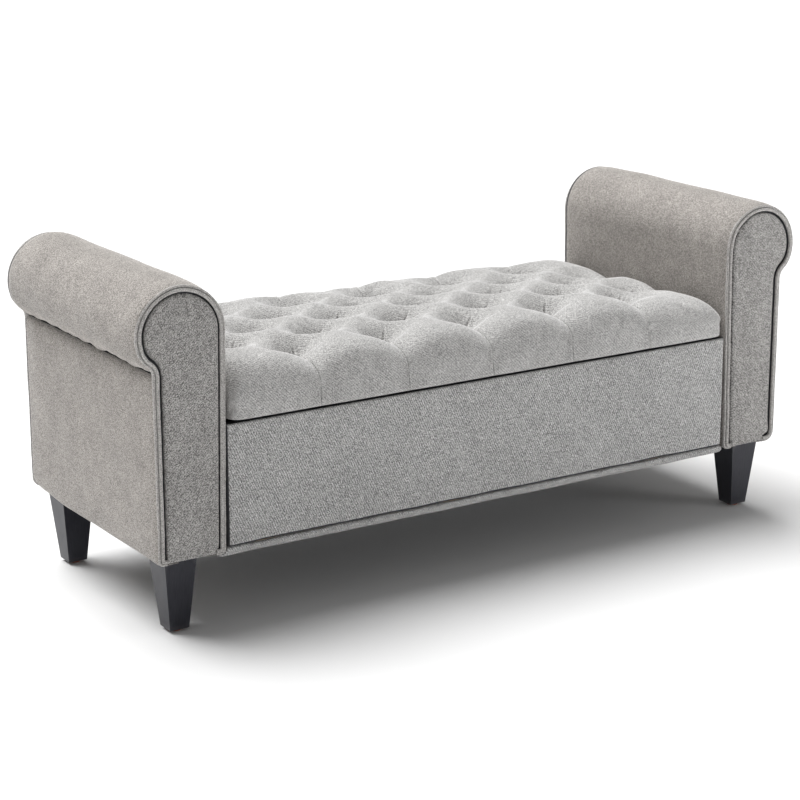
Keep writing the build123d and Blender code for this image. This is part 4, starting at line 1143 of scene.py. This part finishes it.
crng = np.random.default_rng(31)
for t in TUFTS:
    lines = [(math.atan2(DY, DX / 2) + crng.uniform(-0.10, 0.14), crng.uniform(0.022, 0.032), 0.0022)]
    lines.append((crng.uniform(1.9, 2.6), crng.uniform(0.011, 0.018), 0.0012))
    lines.append((crng.uniform(0.1, 0.5), crng.uniform(0.010, 0.015), 0.0009))
    if t[2] > 0:
        lines.append((crng.uniform(3.6, 5.8), crng.uniform(0.012, 0.022), 0.0012))
    here = np.hypot(x - t[0], y - t[1]) < 0.06
    for ang, length_, deep in lines:
        if t[2] == 4 and abs(ang - math.atan2(DY, DX / 2)) < 0.2:
            length_ *= 0.7
        qx, qy = x[here] - t[0], y[here] - t[1]
        bend = crng.uniform(-6, 6)
        a = qx * math.cos(ang) + qy * math.sin(ang)
        b = -qx * math.sin(ang) + qy * math.cos(ang) + bend * a * a
        run = smooth((a - 0.004) / 0.004) * smooth((length_ + 0.009 - a) / 0.012)
        lift[here] += run * (-deep * np.exp(-((b / 0.0010) ** 2)) + 0.0004 * np.exp(-(((np.abs(b) - 0.0035) / 0.0022) ** 2)))
lift += 0.00028 * waves(x, y, 0.045, 912) * upper
co = co + no * lift[:, None]
co[:, 2] = np.maximum(co[:, 2], SEAT_BOTTOM - 0.0004)
seat.data.vertices.foreach_set("co", co.astype(np.float32).ravel())
seat.data.update()
seat.data.polygons.foreach_set("use_smooth", [True] * len(seat.data.polygons))
dress(seat, SEAT_CLOTH, "lid", "seat_cover", "seat_foam", fill=0.75)

# covered buttons, each a shallow dome with its cloth gathered under the rim
verts, faces, loop_uv = [], [], []
n_seg = 28
prof = [(0.0004, 0.0050), (0.0035, 0.0048), (0.0065, 0.0041), (0.0090, 0.0029), (0.0106, 0.0013), (0.0111, -0.0003), (0.0106, -0.0018), (0.0088, -0.0028)]
for n, (x, y, row) in enumerate(TUFTS):
    close = np.hypot(co[:, 0] - x, co[:, 1] - y) + 10 * (co[:, 2] < 0.37) < 0.009
    z0 = float(co[close, 2].mean()) + 0.0006
    tilt_x, tilt_y = rng.uniform(-0.06, 0.06, 2)
    spin = rng.uniform(0, math.pi)
    base = len(verts)
    for k, (r, h) in enumerate(prof):
        for a in range(n_seg):
            ang = 2 * math.pi * a / n_seg + spin
            rr = r * (1 + (0.02 * math.cos(7 * ang + n) + 0.015 * math.cos(11 * ang) if k >= 4 else 0.0))
            vx, vy = rr * math.cos(ang), rr * math.sin(ang)
            verts.append((x + vx, y + vy, z0 + h + tilt_x * vx + tilt_y * vy))
    top_c = len(verts)
    verts.append((x, y, z0 + 0.0050))
    bottom_c = len(verts)
    verts.append((x, y, z0 - 0.0028))
    for a in range(n_seg):
        b = (a + 1) % n_seg
        faces.append([base + a, base + b, top_c])
        for k in range(len(prof) - 1):
            faces.append([base + k * n_seg + a, base + (k + 1) * n_seg + a, base + (k + 1) * n_seg + b, base + k * n_seg + b])
        last = base + (len(prof) - 1) * n_seg
        faces.append([last + b, last + a, bottom_c])
for f in faces:
    for v in f:
        loop_uv.append((verts[v][0] + 0.3, verts[v][1] + 0.1))
caps_ = add_mesh("seat_button_caps", verts, faces, loop_uv)
dress(caps_, SEAT_CLOTH, "lid", "seat_buttons")

lid_dust = stretched("lid_dust_cloth", -0.4465, 0.4465, -0.1955, 0.1885, 0.3330, 0.0004, 560)
dress(lid_dust, DUST_CLOTH, "lid", "lid_dust_cover", slot="dust_cloth")

# -------------------------------------------------------------- floor and lights
floor_mesh = bpy.data.meshes.new("studio_floor")
floor_mesh.from_pydata([(-14, -14, 0), (14, -14, 0), (14, 14, 0), (-14, 14, 0)], [], [(0, 1, 2, 3)])
floor = bpy.data.objects.new("studio_floor", floor_mesh)
bpy.context.scene.collection.objects.link(floor)
fmat, fnt, fb = new_material("studio_floor_pale")
link(fnt, ramp(fnt, noise_node(fnt, object_coords(fnt), 3.0, 2.0), [(0.3, (0.83, 0.83, 0.83)), (0.7, (0.85, 0.85, 0.85))]), fb.inputs["Base Color"])
fb.inputs["Roughness"].default_value = 0.9
floor_mesh.materials.append(fmat)

world = bpy.data.worlds.new("studio")
bpy.context.scene.world = world
world.use_nodes = True
world.node_tree.nodes["Background"].inputs["Color"].default_value = (1.0, 1.0, 1.0, 1)
world.node_tree.nodes["Background"].inputs["Strength"].default_value = 0.24


def aim(ob, at, target):
    ob.location = at
    ob.rotation_euler = (Vector(target) - Vector(at)).to_track_quat("-Z", "Y").to_euler()


def area_light(name, at, target, size, power, colour=(1, 1, 1)):
    data = bpy.data.lights.new(name, "AREA")
    data.shape = "RECTANGLE"
    data.size, data.size_y = size
    data.energy = power
    data.color = colour
    ob = bpy.data.objects.new(name, data)
    bpy.context.scene.collection.objects.link(ob)
    aim(ob, at, target)


def soft_sun(name, at, spread, power, colour=(1, 1, 1)):
    data = bpy.data.lights.new(name, "SUN")
    data.angle = math.radians(spread)
    data.energy = power
    data.color = colour
    ob = bpy.data.objects.new(name, data)
    bpy.context.scene.collection.objects.link(ob)
    aim(ob, at, (0, 0, 0.3))


soft_sun("top_soft", (-0.5, 1.5, 3.2), 54, 4.7)
area_light("left_low_soft", (-2.6, 0.6, 0.22), (-0.6, 0, 0.1), (1.6, 0.40), 1.5, (1.0, 0.94, 0.89))
area_light("front_right_soft", (2.9, -2.5, 1.3), (0.3, 0, 0.3), (1.2, 1.2), 6)
area_light("leg_right_soft", (1.8, -1.65, 0.17), (0.58, -0.2, 0.07), (0.7, 0.25), 12)

# ----------------------------------------------------------------------- camera
cam = bpy.data.cameras.new("camera")
cam.sensor_width = 36.0
cam.lens = 2250.4 / 800.0 * 36.0
cam_ob = bpy.data.objects.new("camera", cam)
bpy.context.scene.collection.objects.link(cam_ob)
cam_ob.location = (-2.0349, -3.1292, 1.2948)
cam_ob.rotation_euler = (math.radians(90 - 15.8), math.radians(0.13), math.radians(-32.68))
cam.clip_end = 100
bpy.context.scene.camera = cam_ob
bpy.context.scene.view_settings.view_transform = "Standard"
bpy.context.scene.view_settings.look = "None"
bpy.context.scene.view_settings.exposure = 0.0
